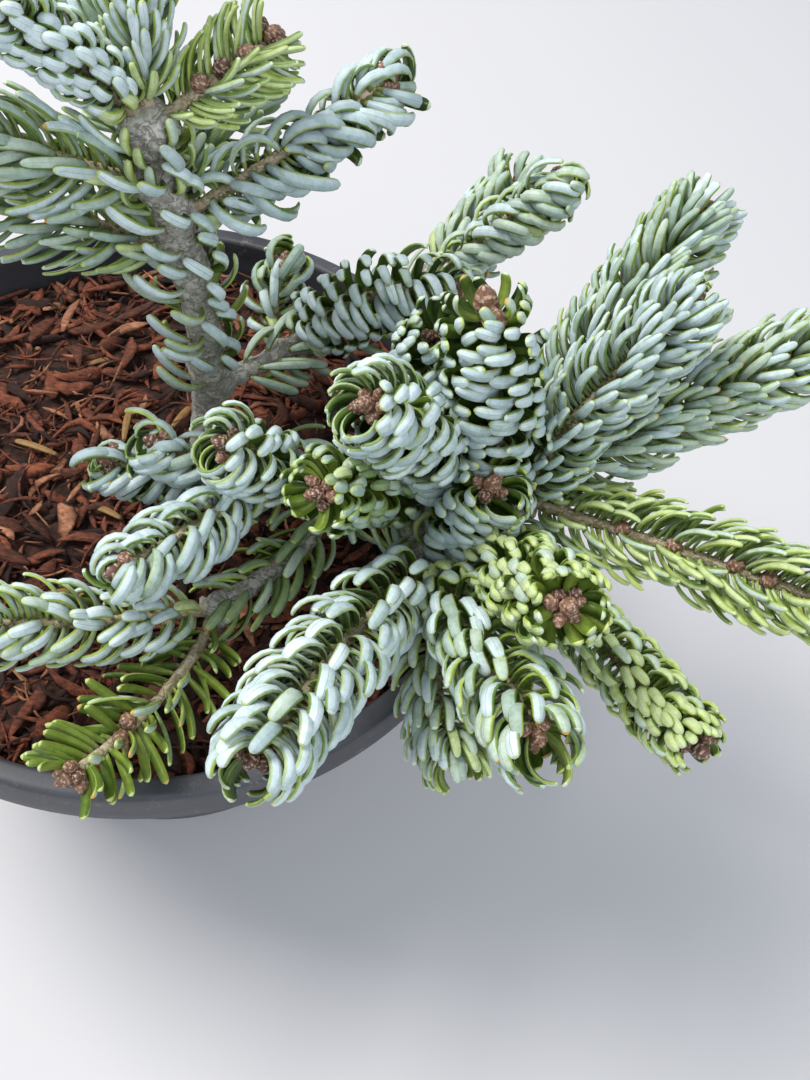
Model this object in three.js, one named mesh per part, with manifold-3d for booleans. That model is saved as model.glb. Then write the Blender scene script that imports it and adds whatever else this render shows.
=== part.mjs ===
// A young Korean fir with curled, silver-backed needles, in the round plastic pot that it is
// grown in. Millimetres, +Z up, with the origin at the middle of the pot's flat underside.
// The trunk stands left of the pot's middle and one long side branch leans out to the right.
import * as THREE from "three";
import { mergeVertices } from "three/addons/utils/BufferGeometryUtils.js";
import Module from "manifold-3d";

const wasm = await Module();
wasm.setup();

// Driving dimensions.
const POT_HEIGHT = 110;
const POT_RIM_RADIUS = 95;
const POT_BASE_RADIUS = 61;
const POT_WALL = 1.6;
const POT_FLOOR = 2;
const RIM_BAND_HEIGHT = 13;
const RIM_BAND_STEP = 4;
const POT_EDGE = 1.2;
const POT_SIDES = 40;
const DRAIN_HOLES = 6;
const DRAIN_HOLE_RADIUS = 6;
const DRAIN_RING_RADIUS = 46;
const DRAIN_HOLE_SIDES = 12;
const GROUND = 98;
const GROUND_SLOPE_FROM = 40;
const GROUND_EDGE_DROP = 3;
const CLEAR = 0.3;
const TRUNK_FACETS = { rings: 16, sides: 9 };
const BOUGH_FACETS = { rings: 4, sides: 7 };
const TWIG_FACETS = { rings: 3, sides: 3 };
const TWIG_RADIUS = 1.7;
const TWIG_TIP_RADIUS = 1.1;
const NEEDLE_WIDTH = 4;
const NEEDLE_THICKNESS = 1.2;
const NEEDLE_STRAIGHT = 0.4;
const NEEDLE_REACH = NEEDLE_WIDTH * 0.55;
const ANGLE_JITTER = 10;
const CURL_JITTER = 0.2;
const TURN_JITTER = 0.5;
const LENGTH_RANGE = [0.9, 1.06];
const BUD_RADIUS = 2.6;
const BUD_SIDES = 4;
const ROOT_DEPTH = 0.45;
const COVER_STEP = 1.5;
const COVER_SPARE = 1.15;
const GOLDEN_ANGLE = Math.PI * (3 - Math.sqrt(5));

// How needles leave a twig: the angle from its direction, and how far they curl back over it.
const HABITS = {
  curled: { leave: 80, curl: 150 },
  rolled: { leave: 78, curl: 112 },
  lying: { leave: 74, curl: 64 },
  open: { leave: 66, curl: 32 },
  flat: { leave: 58, curl: 12 },
};

// Trunk: its line from the ground to the fork, its radius at shares of the line, and the root flare.
const TRUNK_LINE = [
  [8, 13.5, GROUND - 4],
  [9.5, 17, 125],
  [7, 16, 160],
  [1.5, 13, 192],
  [0, 12, 206],
];
const TRUNK_FOOT_RADIUS = 5;
const TRUNK_TOP_RADIUS = 3.6;
const TRUNK_KNUCKLE = 5;
const ROOT_FLARE = 3;
const ROOT_FLARE_SHARE = 0.09;
const TRUNK_WHORLS = [0.34, 0.66];
const WHORL_SWELL = 1;
const WHORL_SHARE = 0.035;

// Boughs: the limb and the share of it that each leaves from, a point that it bends past, its tip,
// its radius at both ends, and the radius of the swollen knuckle at its tip.
const BOUGHS = {
  side_stem: {
    on: "trunk", at: 0.17, past: [42, 4, 114], tip: [72, -12, 124], radius: [4.3, 3.3], knuckle: 4.8,
  },
  right_bough: {
    on: "side_stem", at: 1, past: [84, -12, 130], tip: [94, -9, 140], radius: [3, 2.6], knuckle: 4.2,
  },
  front_bough: {
    on: "side_stem", at: 1, past: [74, -22, 125], tip: [77, -29, 128], radius: [2.8, 2.3], knuckle: 3.8,
  },
  low_left_bough: {
    on: "side_stem", at: 0.64, past: [46, -26, 119], tip: [29, -46, 121], radius: [3, 2.3], knuckle: 3.6,
  },
  near_bough: {
    on: "side_stem", at: 0.34, past: [31, -4, 124], tip: [31, -16, 134], radius: [2.8, 2.2], knuckle: 3.5,
  },
  back_bough: {
    on: "trunk", at: 0.28, past: [20, 28, 124], tip: [29, 43, 123], radius: [3, 2.4], knuckle: 3.7,
  },
  far_bough: {
    on: "back_bough", at: 1, past: [46, 52, 124], tip: [61, 53, 144], radius: [2.2, 1.8], knuckle: 3,
  },
};

// Shoots: the limb and the share of it that each leaves from, a point that it bends past, its tip,
// the habit of its needles, their length from the middle of the twig, and how many it may have.
const SHOOTS = {
  right_shoot_1: {
    on: "right_bough", at: 1, past: [95, 10, 158], tip: [121, 50, 186],
    habit: "lying", long: 20, needles: 22,
  },
  right_shoot_2: {
    on: "right_bough", at: 1, past: [95, -8, 162], tip: [117, 10, 192],
    habit: "lying", long: 18, needles: 20,
  },
  right_shoot_3: {
    on: "right_bough", at: 1, past: [112, 2, 158], tip: [149, 16, 184],
    habit: "lying", long: 18, needles: 20,
  },
  right_shoot_4: {
    on: "right_bough", at: 1, past: [114, -16, 147], tip: [161, -41, 169],
    habit: "open", long: 18, needles: 20,
  },
  right_shoot_5: {
    on: "right_bough", at: 0.72, past: [104, -24, 130], tip: [137, -66, 146],
    habit: "rolled", long: 18.5, needles: 19,
  },
  middle_shoot_1: {
    on: "right_bough", at: 0.6, past: [89, -11, 156], tip: [76, -6, 193],
    habit: "rolled", long: 17.5, needles: 20,
  },
  middle_shoot_2: {
    on: "side_stem", at: 1, past: [77, -2, 158], tip: [57, -29, 185],
    habit: "curled", long: 19, needles: 20,
  },
  middle_shoot_3: {
    on: "side_stem", at: 0.9, past: [64, -10, 144], tip: [50, -35, 161],
    habit: "rolled", long: 18, needles: 17,
  },
  middle_shoot_4: {
    on: "front_bough", at: 0.55, past: [82, -19, 140], tip: [85, -23, 159],
    habit: "curled", long: 18, needles: 12,
  },
  middle_shoot_5: {
    on: "right_bough", at: 0.4, past: [92, -26, 134], tip: [102, -58, 174],
    habit: "rolled", long: 19, needles: 20,
  },
  middle_shoot_6: {
    on: "side_stem", at: 0.82, past: [64, 8, 142], tip: [67, 2, 176],
    habit: "rolled", long: 18, needles: 16,
  },
  front_shoot_1: {
    on: "front_bough", at: 1, past: [67, -42, 142], tip: [51, -94, 157],
    habit: "curled", long: 23, needles: 22,
  },
  front_shoot_2: {
    on: "front_bough", at: 1, past: [80, -42, 116], tip: [91, -67, 116],
    habit: "lying", long: 18, needles: 14,
  },
  front_shoot_3: {
    on: "front_bough", at: 1, past: [86, -42, 140], tip: [102, -77, 157],
    habit: "rolled", long: 17.5, needles: 17,
  },
  left_shoot_1: {
    on: "near_bough", at: 1, past: [16, -13, 140], tip: [-3, -21, 134],
    habit: "rolled", long: 18, needles: 14,
  },
  left_shoot_2: {
    on: "near_bough", at: 1, past: [37, -20, 151], tip: [28, -29, 162],
    habit: "curled", long: 17, needles: 12,
  },
  left_shoot_3: {
    on: "near_bough", at: 1, past: [26, -37, 144], tip: [13, -57, 150],
    habit: "curled", long: 20, needles: 16,
  },
  left_shoot_4: {
    on: "low_left_bough", at: 1, past: [8, -60, 126], tip: [-19, -72, 137],
    habit: "open", long: 18, needles: 20,
  },
  left_shoot_5: {
    on: "low_left_bough", at: 1, past: [28, -66, 116], tip: [12, -94, 125],
    habit: "flat", long: 16.5, needles: 16,
  },
  back_shoot_1: {
    on: "back_bough", at: 0.74, past: [18, 44, 124], tip: [21, 53, 144],
    habit: "rolled", long: 18, needles: 11,
  },
  back_shoot_2: {
    on: "back_bough", at: 1, past: [44, 40, 154], tip: [67, 42, 153],
    habit: "curled", long: 19, needles: 16,
  },
  back_shoot_3: {
    on: "far_bough", at: 1, past: [70, 56, 160], tip: [87, 55, 183],
    habit: "rolled", long: 19, needles: 14,
  },
  back_shoot_4: {
    on: "far_bough", at: 1, past: [66, 66, 144], tip: [80, 86, 156],
    habit: "lying", long: 18, needles: 12,
  },
  top_shoot_1: {
    on: "trunk", at: 1, past: [-12, 7, 226], tip: [-32, -2, 238],
    habit: "lying", long: 20, needles: 16,
  },
  top_shoot_2: {
    on: "trunk", at: 1, past: [-2, 18, 226], tip: [-8, 28, 252],
    habit: "open", long: 19, needles: 16,
  },
  top_shoot_3: {
    on: "trunk", at: 1, past: [12, 15, 217], tip: [20, 30, 219],
    habit: "open", long: 17, needles: 14,
  },
  top_shoot_4: {
    on: "trunk", at: 0.78, past: [24, 16, 200], tip: [43, 42, 208],
    habit: "curled", long: 20, needles: 18,
  },
  top_shoot_5: {
    on: "trunk", at: 0.86, past: [-16, 5, 200], tip: [-40, -4, 208],
    habit: "flat", long: 20, needles: 15,
  },
  top_shoot_6: {
    on: "trunk", at: 0.7, past: [-14, 10, 180], tip: [-34, 6, 184],
    habit: "flat", long: 18, needles: 12,
  },
  top_shoot_7: {
    on: "trunk", at: 0.92, past: [-12, 30, 208], tip: [-32, 48, 222],
    habit: "lying", long: 18.5, needles: 15,
  },
  top_shoot_8: {
    on: "trunk", at: 0.82, past: [6, 36, 196], tip: [16, 60, 210],
    habit: "rolled", long: 19, needles: 15,
  },
};

// Sparse old needles that stand out of the bark, on strips that lie along a side of their limb:
// the limb, the shares of it between which the strip runs, and its direction from the limb.
const OLD_NEEDLES = {
  trunk_needles_left: { on: "trunk", from: 0.3, to: 0.66, side: [-1, -0.35, 0], needles: 11 },
  trunk_needles_right: { on: "trunk", from: 0.34, to: 0.74, side: [1, -0.2, 0], needles: 10 },
  trunk_needles_back: { on: "trunk", from: 0.3, to: 0.8, side: [0.1, 1, 0], needles: 9 },
};
const OLD_STRIP_RADIUS = 0.9;
const OLD_HABIT = { leave: 62, curl: 50 };
const OLD_NEEDLE_LENGTH = 17;
const OLD_SPREAD = 70;

const vec = (point) => new THREE.Vector3(...point);
const degrees = THREE.MathUtils.degToRad;

// A seeded random number between 0 and 1, the same on every run.
function seeded(seed) {
  let state = seed >>> 0;
  return () => {
    state = (state + 0x6d2b79f5) >>> 0;
    let mixed = Math.imul(state ^ (state >>> 15), 1 | state);
    mixed = (mixed + Math.imul(mixed ^ (mixed >>> 7), 61 | mixed)) ^ mixed;
    return ((mixed ^ (mixed >>> 14)) >>> 0) / 4294967296;
  };
}

// A closed geometry as a solid that can be joined and cut.
function solidOf(geometry) {
  const bare = geometry.clone();
  bare.deleteAttribute("normal");
  bare.deleteAttribute("uv");
  const merged = mergeVertices(bare, 1e-4);
  return new wasm.Manifold(
    new wasm.Mesh({
      numProp: 3,
      vertProperties: merged.attributes.position.array,
      triVerts: new Uint32Array(merged.index.array),
    }),
  );
}

// The largest body of a solid: a scrap that a cut leaves, or a hollow that joining seals, is dropped.
function largest(solid) {
  return solid.decompose().reduce((best, body) => (body.volume() > best.volume() ? body : best));
}

function addNode(group, name, solid, material) {
  const { vertProperties, triVerts } = solid.getMesh();
  const geometry = new THREE.BufferGeometry();
  geometry.setAttribute("position", new THREE.BufferAttribute(vertProperties, 3));
  geometry.setIndex(new THREE.BufferAttribute(triVerts, 1));
  geometry.computeVertexNormals();
  const mesh = new THREE.Mesh(geometry, material);
  mesh.name = name;
  group.add(mesh);
}

// A lathe whose profile runs along Y from 0 to 1, bent so that its axis follows a line of frames.
// frameAt gives a centre and two directions across the line there, scaled as the section is.
function bentLathe(radii, sides, frameAt) {
  const last = radii.length - 1;
  const profile = radii.map((radius, ring) => new THREE.Vector2(radius, ring / last));
  if (radii[0] > 0) profile.unshift(new THREE.Vector2(0, 0));
  if (radii[last] > 0) profile.push(new THREE.Vector2(0, 1));
  const shape = new THREE.LatheGeometry(profile, sides);
  const place = shape.attributes.position;
  for (let i = 0; i < place.count; i++) {
    const { centre, across, out } = frameAt(place.getY(i));
    const point = centre.clone();
    point.addScaledVector(across, place.getX(i)).addScaledVector(out, place.getZ(i));
    place.setXYZ(i, point.x, point.y, point.z);
  }
  return solidOf(shape);
}

// A limb: a round tapering body along a curve, with its radius given at each share of the curve.
function limbSolid(curve, radiusAt, { rings, sides }) {
  const { normals, binormals } = curve.computeFrenetFrames(rings);
  const shares = Array.from({ length: rings + 1 }, (_, ring) => ring / rings);
  return bentLathe(shares.map(radiusAt), sides, (share) => {
    const ring = Math.round(share * rings);
    return {
      centre: curve.getPointAt(share),
      across: normals[ring],
      out: binormals[ring].clone().negate(),
    };
  });
}

function ball(centre, radius, sides) {
  const sphere = new THREE.SphereGeometry(radius, sides, Math.ceil(sides * 0.6));
  return solidOf(sphere.rotateX(Math.PI / 2).translate(...centre));
}

// The pot: a turned shell with a folded rim band, and drain holes through its flat floor.
const potOuterAt = (z) => {
  const slope = (POT_RIM_RADIUS - RIM_BAND_STEP - POT_BASE_RADIUS) / (POT_HEIGHT - RIM_BAND_HEIGHT);
  return POT_BASE_RADIUS + slope * z;
};
const potInnerAt = (z) => potOuterAt(Math.min(z, POT_HEIGHT - RIM_BAND_HEIGHT)) - POT_WALL;

function potSolid() {
  const band = POT_HEIGHT - RIM_BAND_HEIGHT;
  const profile = [
    [0, 0],
    [POT_BASE_RADIUS - POT_EDGE, 0],
    [potOuterAt(POT_EDGE), POT_EDGE],
    [potOuterAt(band), band],
    [POT_RIM_RADIUS - POT_EDGE, band],
    [POT_RIM_RADIUS, band + POT_EDGE],
    [POT_RIM_RADIUS, POT_HEIGHT - POT_EDGE],
    [POT_RIM_RADIUS - POT_EDGE, POT_HEIGHT],
    [potInnerAt(band) + POT_EDGE, POT_HEIGHT],
    [potInnerAt(band), POT_HEIGHT - POT_EDGE],
    [potInnerAt(band), band],
    [potInnerAt(POT_FLOOR), POT_FLOOR],
    [0, POT_FLOOR],
  ];
  const points = profile.map(([radius, z]) => new THREE.Vector2(radius, z));
  let shell = solidOf(new THREE.LatheGeometry(points, POT_SIDES).rotateX(Math.PI / 2));
  for (let hole = 0; hole < DRAIN_HOLES; hole++) {
    const turn = (hole / DRAIN_HOLES) * 2 * Math.PI;
    const drill = new THREE.CylinderGeometry(
      DRAIN_HOLE_RADIUS, DRAIN_HOLE_RADIUS, 4 * POT_FLOOR, DRAIN_HOLE_SIDES,
    );
    drill.rotateX(Math.PI / 2).rotateZ(turn);
    drill.translate(DRAIN_RING_RADIUS * Math.cos(turn), DRAIN_RING_RADIUS * Math.sin(turn), 0);
    shell = shell.subtract(solidOf(drill));
  }
  return shell;
}

// The growing medium: it fills the pot, flat round the trunk and a little lower at the wall.
function mediumSolid() {
  const floor = POT_FLOOR + CLEAR;
  const edge = GROUND - GROUND_EDGE_DROP;
  const profile = [
    [0, floor],
    [potInnerAt(floor) - CLEAR, floor],
    [potInnerAt(edge) - CLEAR, edge],
    [GROUND_SLOPE_FROM, GROUND],
    [0, GROUND],
  ];
  const points = profile.map(([radius, z]) => new THREE.Vector2(radius, z));
  return solidOf(new THREE.LatheGeometry(points, POT_SIDES).rotateX(Math.PI / 2));
}

// Radius of the trunk at a share of its line: a flared foot, an even taper, a swelling at each whorl.
function trunkRadiusAt(share) {
  const flare = ROOT_FLARE * Math.max(0, 1 - share / ROOT_FLARE_SHARE) ** 2;
  const taper = TRUNK_FOOT_RADIUS + (TRUNK_TOP_RADIUS - TRUNK_FOOT_RADIUS) * share;
  const swells = TRUNK_WHORLS.map(
    (whorl) => WHORL_SWELL * Math.exp(-(((share - whorl) / WHORL_SHARE) ** 2)),
  );
  return taper + flare + swells.reduce((sum, swell) => sum + swell, 0);
}

// Limbs by name, each with its curve, its radius rule and two solids: the limb itself, and one that is
// larger by the clearance all over, which cuts whatever grows out of it.
const limbs = {};

function addLimb(name, curve, radiusAt, facets, knuckle) {
  const tip = curve.getPointAt(1);
  const make = (extra) =>
    limbSolid(curve, (share) => radiusAt(share) + extra, facets)
      .add(ball(tip, knuckle + extra, facets.sides));
  limbs[name] = { curve, radiusAt, knuckle, solid: make(0), cutter: make(CLEAR) };
}

function bend(from, past, tip) {
  return new THREE.QuadraticBezierCurve3(from, vec(past), vec(tip));
}

// A block that reaches up to just over the ground: it cuts the trunk's foot flat, clear of the medium.
function belowGround() {
  const depth = 40;
  const block = new THREE.BoxGeometry(depth, depth, depth);
  return solidOf(block.translate(TRUNK_LINE[0][0], TRUNK_LINE[0][1], GROUND + CLEAR - depth / 2));
}

function growLimbs() {
  const line = new THREE.CatmullRomCurve3(TRUNK_LINE.map(vec));
  addLimb("trunk", line, trunkRadiusAt, TRUNK_FACETS, TRUNK_KNUCKLE);
  limbs.trunk.solid = limbs.trunk.solid.subtract(belowGround());
  for (const [name, { on, at, past, tip, radius, knuckle }] of Object.entries(BOUGHS)) {
    const parent = limbs[on];
    const curve = bend(parent.curve.getPointAt(at), past, tip);
    const radiusAt = (share) => THREE.MathUtils.lerp(...radius, share);
    addLimb(name, curve, radiusAt, BOUGH_FACETS, knuckle);
    limbs[name].solid = largest(limbs[name].solid.subtract(parent.cutter));
  }
}

// Spheres that cover what has been grown, with the name of the node that each belongs to.
const grown = [];

function fill(owner, centre, radius) {
  grown.push({ owner, centre, radius });
}

function isFree(owner, centre, radius) {
  return grown.every(
    (other) => other.owner === owner || other.centre.distanceTo(centre) > other.radius + radius + CLEAR,
  );
}

function fillLimb(name, curve, radiusAt) {
  const steps = Math.ceil(curve.getLength() / COVER_STEP);
  for (let step = 0; step <= steps; step++) {
    fill(name, curve.getPointAt(step / steps), radiusAt(step / steps) * COVER_SPARE);
  }
}

// The midline of a needle in the plane of its twig's direction and the way out from the twig: straight
// for its first part, then curling over towards the tip of the twig.
function needleLine(habit, length, from, along, outward) {
  const points = [];
  const stations = 12;
  const point = from.clone();
  for (let station = 0; station <= stations; station++) {
    points.push(point.clone());
    const share = (station + 0.5) / stations;
    const bent = Math.max(0, (share - NEEDLE_STRAIGHT) / (1 - NEEDLE_STRAIGHT));
    const angle = degrees(habit.leave - habit.curl * bent);
    point.addScaledVector(along, (Math.cos(angle) * length) / stations);
    point.addScaledVector(outward, (Math.sin(angle) * length) / stations);
  }
  return new THREE.CatmullRomCurve3(points);
}

// A needle: a three-sided blade, its flat silver back turned outwards and its ridge towards the twig.
function needleSolid(line, side) {
  const radii = [0, 0.95, 1, 0];
  const shares = [0, 0.35, 0.8, 1];
  return bentLathe(radii, 3, (place) => {
    const share = shares[Math.round(place * 3)];
    const out = side.clone().cross(line.getTangentAt(share)).normalize();
    return {
      centre: line.getPointAt(share),
      across: side.clone().multiplyScalar(NEEDLE_WIDTH / Math.sqrt(3)),
      out: out.multiplyScalar(NEEDLE_THICKNESS / 1.5),
    };
  });
}

// Whether a place lies over the growing medium and clear of the pot's rim.
function isAbovePot(place) {
  const spare = 2 * NEEDLE_REACH;
  const overRim = Math.hypot(place.x, place.y) > potInnerAt(POT_HEIGHT) - spare;
  return place.z > (overRim ? POT_HEIGHT : GROUND) + spare;
}

// Tries one needle: it is skipped where it would touch another node, the ground or the pot.
function growNeedle(owner, habit, length, from, along, outward) {
  const line = needleLine(habit, length, from, along, outward);
  const places = [0.3, 0.45, 0.6, 0.75, 0.9, 1].map((share) => line.getPointAt(share));
  if (!places.every((place) => isAbovePot(place) && isFree(owner, place, NEEDLE_REACH))) return null;
  places.forEach((place) => fill(owner, place, NEEDLE_REACH));
  return needleSolid(line, along.clone().cross(outward).normalize());
}

// The way out from a curve at a share of it, turned about its direction by an angle.
function outwardAt(curve, share, turn) {
  const along = curve.getTangentAt(share);
  const level = new THREE.Vector3(0, 0, 1).cross(along).normalize();
  const above = along.clone().cross(level);
  const outward = level.multiplyScalar(Math.cos(turn)).addScaledVector(above, Math.sin(turn));
  return { along, outward };
}

// A shoot: a slim twig with a cluster of buds at its tip and needles that stand out of it all round.
function shootSolid(name, { on, at, past, tip, habit, long, needles }, seed) {
  const random = seeded(seed);
  const parent = limbs[on];
  const curve = bend(parent.curve.getPointAt(at), past, tip);
  const root = (parent.radiusAt(at) + 2) / curve.getLength();
  const radiusAt = (share) => THREE.MathUtils.lerp(TWIG_RADIUS, TWIG_TIP_RADIUS, share);
  let solid = limbSolid(curve, radiusAt, TWIG_FACETS);
  solid = solid.add(ball(curve.getPointAt(1), BUD_RADIUS, BUD_SIDES));
  const { leave, curl } = HABITS[habit];
  for (let needle = 0; needle < needles; needle++) {
    const share = root + ((needle + 0.6) / needles) * (0.99 - root);
    const turn = needle * GOLDEN_ANGLE + (random() - 0.5) * TURN_JITTER;
    const { along, outward } = outwardAt(curve, share, turn);
    const scale = THREE.MathUtils.lerp(...LENGTH_RANGE, random());
    const own = {
      leave: leave + (random() - 0.5) * ANGLE_JITTER,
      curl: curl * (1 + (random() - 0.5) * CURL_JITTER),
    };
    const from = curve.getPointAt(share).addScaledVector(outward, -ROOT_DEPTH);
    const blade = growNeedle(name, own, long * scale, from, along, outward);
    if (blade) solid = solid.add(blade);
  }
  return largest(solid.subtract(parent.cutter));
}

// A strip of old needles: a slim rod lying along a limb, clear of its bark, with needles fanning out.
function oldNeedlesSolid(name, { on, from, to, side, needles }, seed) {
  const random = seeded(seed);
  const { curve: carrier, radiusAt, cutter } = limbs[on];
  const aside = vec(side).normalize();
  const stations = Array.from({ length: 7 }, (_, index) => from + ((to - from) * index) / 6);
  const points = stations.map((share) => {
    const gap = radiusAt(share) + CLEAR + OLD_STRIP_RADIUS * 0.8;
    return carrier.getPointAt(share).addScaledVector(aside, gap);
  });
  const curve = new THREE.CatmullRomCurve3(points);
  let solid = limbSolid(curve, () => OLD_STRIP_RADIUS, TWIG_FACETS);
  for (let needle = 0; needle < needles; needle++) {
    const share = (needle + 0.5) / needles;
    const along = curve.getTangentAt(share);
    const fan = degrees(OLD_SPREAD * (needle % 2 ? 1 : -1) * random());
    const outward = aside.clone().applyAxisAngle(along, fan);
    outward.addScaledVector(along, -outward.dot(along)).normalize();
    const own = { ...OLD_HABIT, leave: OLD_HABIT.leave + (random() - 0.5) * 3 * ANGLE_JITTER };
    const blade = growNeedle(name, own, OLD_NEEDLE_LENGTH, curve.getPointAt(share), along, outward);
    if (blade) solid = solid.add(blade);
  }
  return largest(solid.subtract(cutter));
}

const finish = (color, roughness) => new THREE.MeshStandardMaterial({ color, roughness, metalness: 0 });
const plastic = finish(0x34353a, 0.6);
const mulch = finish(0x6f3d28, 0.95);
const bark = finish(0x8b8f88, 0.9);
const foliage = finish(0xa9beb9, 0.55);

const plant = new THREE.Group();
addNode(plant, "pot", potSolid(), plastic);
addNode(plant, "growing_medium", mediumSolid(), mulch);

growLimbs();
for (const [name, { curve, radiusAt, knuckle, solid }] of Object.entries(limbs)) {
  addNode(plant, name, solid, bark);
  fillLimb(name, curve, radiusAt);
  fill(name, curve.getPointAt(1), knuckle * COVER_SPARE);
}

// Every twig takes its own space before any needle is grown.
for (const [name, { on, at, past, tip }] of Object.entries(SHOOTS)) {
  fillLimb(name, bend(limbs[on].curve.getPointAt(at), past, tip), () => TWIG_RADIUS);
  fill(name, vec(tip), BUD_RADIUS);
}
Object.entries(SHOOTS).forEach(([name, shoot], index) => {
  addNode(plant, name, shootSolid(name, shoot, 11 + index), foliage);
});
Object.entries(OLD_NEEDLES).forEach(([name, strip], index) => {
  addNode(plant, name, oldNeedlesSolid(name, strip, 71 + index), foliage);
});

export default plant;
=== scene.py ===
# %% [markdown]
# A young Korean fir with curled, silver-backed needles, in its round plastic pot.
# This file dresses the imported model: it keeps the model's frame and sizes, and makes the bark,
# twigs, needles, buds, mulch and pot as fine meshes with procedural finishes.
# It is laid out as a lesson. Every step first says what the real thing is, how it could be made, and
# why it is made as it is here.

# %% Load the frame
import math

import bpy
import numpy as np
from mathutils import Matrix


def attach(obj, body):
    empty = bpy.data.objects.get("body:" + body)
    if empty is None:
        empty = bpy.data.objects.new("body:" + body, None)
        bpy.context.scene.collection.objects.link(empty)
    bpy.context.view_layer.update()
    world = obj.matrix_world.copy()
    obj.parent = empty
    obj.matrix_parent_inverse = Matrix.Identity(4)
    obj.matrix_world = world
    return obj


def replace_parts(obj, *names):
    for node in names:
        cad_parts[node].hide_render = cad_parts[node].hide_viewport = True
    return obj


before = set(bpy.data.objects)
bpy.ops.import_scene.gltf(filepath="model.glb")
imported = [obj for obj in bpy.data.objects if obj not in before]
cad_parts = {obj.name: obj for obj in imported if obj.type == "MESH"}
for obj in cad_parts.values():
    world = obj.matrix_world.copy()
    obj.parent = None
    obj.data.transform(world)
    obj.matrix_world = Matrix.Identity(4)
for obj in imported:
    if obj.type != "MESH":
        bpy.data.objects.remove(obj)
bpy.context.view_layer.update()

MM = 0.001

# %% [markdown]
# The camera stands where the photographer held it: over the plant's near right side, looking
# down at 56 degrees, with the picture leaning to one side. It could be placed by eye, but the oval of
# the pot's rim fixes all of it. A lens is a focal length over a sensor, so a focal length in pixels
# turns into millimetres when the sensor's long side stands for the picture's 1080 pixels.

# %% Camera
PICTURE_HEIGHT = 1080
FOCAL_PIXELS = 1100
SENSOR = 36
NEAREST_SEEN = 0.01
PITCH = math.radians(55.6)
ROLL = math.radians(12.6)
EYE = np.array([69.3, -172.9, 351.3])


def new_object(name, data):
    """An object of the scene that holds this data."""
    thing = bpy.data.objects.new(name, data)
    bpy.context.scene.collection.objects.link(thing)
    return thing


def stand(thing, right, up, back, place):
    """Puts a camera or a lamp at a place in metres, with its three axes along these directions."""
    matrix = np.eye(4)
    matrix[:3] = np.stack([right, up, back, place], axis=1)
    thing.matrix_world = Matrix(matrix.tolist())


def camera_axes(pitch, roll):
    """Right, up and forward: forward dips by the pitch from +Y, and the other two turn by the roll."""
    forward = np.array([0, math.cos(pitch), -math.sin(pitch)])
    right = np.array([1.0, 0, 0])
    up = np.cross(right, forward)
    rolled_right = math.cos(roll) * right + math.sin(roll) * up
    rolled_up = math.cos(roll) * up - math.sin(roll) * right
    return rolled_right, rolled_up, forward


def add_camera():
    """The photographer's camera: its lens is focal pixels / picture height * sensor."""
    right, up, forward = camera_axes(PITCH, ROLL)
    data = bpy.data.cameras.new("camera")
    data.sensor_width = SENSOR
    data.lens = FOCAL_PIXELS / PICTURE_HEIGHT * SENSOR
    data.clip_start = NEAREST_SEEN
    camera = new_object("camera", data)
    stand(camera, right, up, -forward, EYE * MM)
    bpy.context.scene.camera = camera
    print("camera lens in mm:", round(data.lens, 2))


add_camera()

# %% [markdown]
# Every new piece is made of closed tubes: rings of points, joined by quads and closed by a face at each
# end. Curves with a bevel could give plain tubes, but no relief and no needle's section. So the
# places of the points are worked out in millimetres, as whole numpy arrays, and one helper hands them
# to Blender. Each face can name its own finish, so colours that have a place on a needle need no image.

# %% From arrays to a piece
PIECES = {}


def tube_faces(places):
    """Rows of point numbers: quads between the rings of each tube, and two faces that close it."""
    *copies, rings, around, _ = places.shape
    starts = np.arange(math.prod(copies))[:, None, None] * rings * around
    ring, side = np.indices((rings - 1, around)).reshape(2, -1)
    here = ring * around + side
    beside = ring * around + (side + 1) % around
    quads = np.stack([here, beside, beside + around, here + around], axis=1)
    first = np.arange(around)[::-1]
    last = (rings - 1) * around + np.arange(around)
    caps = np.stack([first, last])
    return [(rows + starts).reshape(-1, rows.shape[1]) for rows in (quads, caps)]


def add_piece(name, places, finishes, looks=None, turned_over=False):
    """One object from places in mm: rings by sides by three, or several tubes of them. The looks are
    the numbers of the finishes, for all quads and then for all closing faces."""
    faces = [rows[:, ::-1] if turned_over else rows for rows in tube_faces(places)]
    corners = np.concatenate([rows.ravel() for rows in faces])
    sizes = np.concatenate([np.full(len(rows), rows.shape[1]) for rows in faces])
    mesh = bpy.data.meshes.new(name)
    mesh.vertices.add(places.size // 3)
    mesh.vertices.foreach_set("co", (places * MM).astype(np.float32).ravel())
    mesh.loops.add(len(corners))
    mesh.loops.foreach_set("vertex_index", corners.astype(np.int32))
    mesh.polygons.add(len(sizes))
    mesh.polygons.foreach_set("loop_start", (np.cumsum(sizes) - sizes).astype(np.int32))
    for finish in finishes:
        mesh.materials.append(finish)
    if looks is not None:
        mesh.polygons.foreach_set("material_index", looks.astype(np.int32))
    mesh.polygons.foreach_set("use_smooth", np.ones(len(sizes), bool))
    mesh.update(calc_edges=True)
    mesh.validate()
    piece = new_object(name, mesh)
    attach(piece, "root")
    PIECES[name] = int((sizes - 2).sum())
    print(f"{name}: {PIECES[name]} triangles")
    return piece


# %% [markdown]
# Bark, mulch and compost are rough in an irregular way. A Displace modifier could do that, but the
# chips also have to know the height of the ground under them. So value noise is worked out here: a
# lattice of random numbers, blended smoothly between its corners. It is read at each point's own
# place, so it has no seam round a limb, and it is worked out for all points at once.

# %% Noise
AXIS_FACTORS = (np.uint32(374761393), np.uint32(668265263), np.uint32(2246822519))
SEED_FACTOR = 3266489917
MIX_FACTOR = np.uint32(1274126177)
HALVINGS = 3


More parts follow.
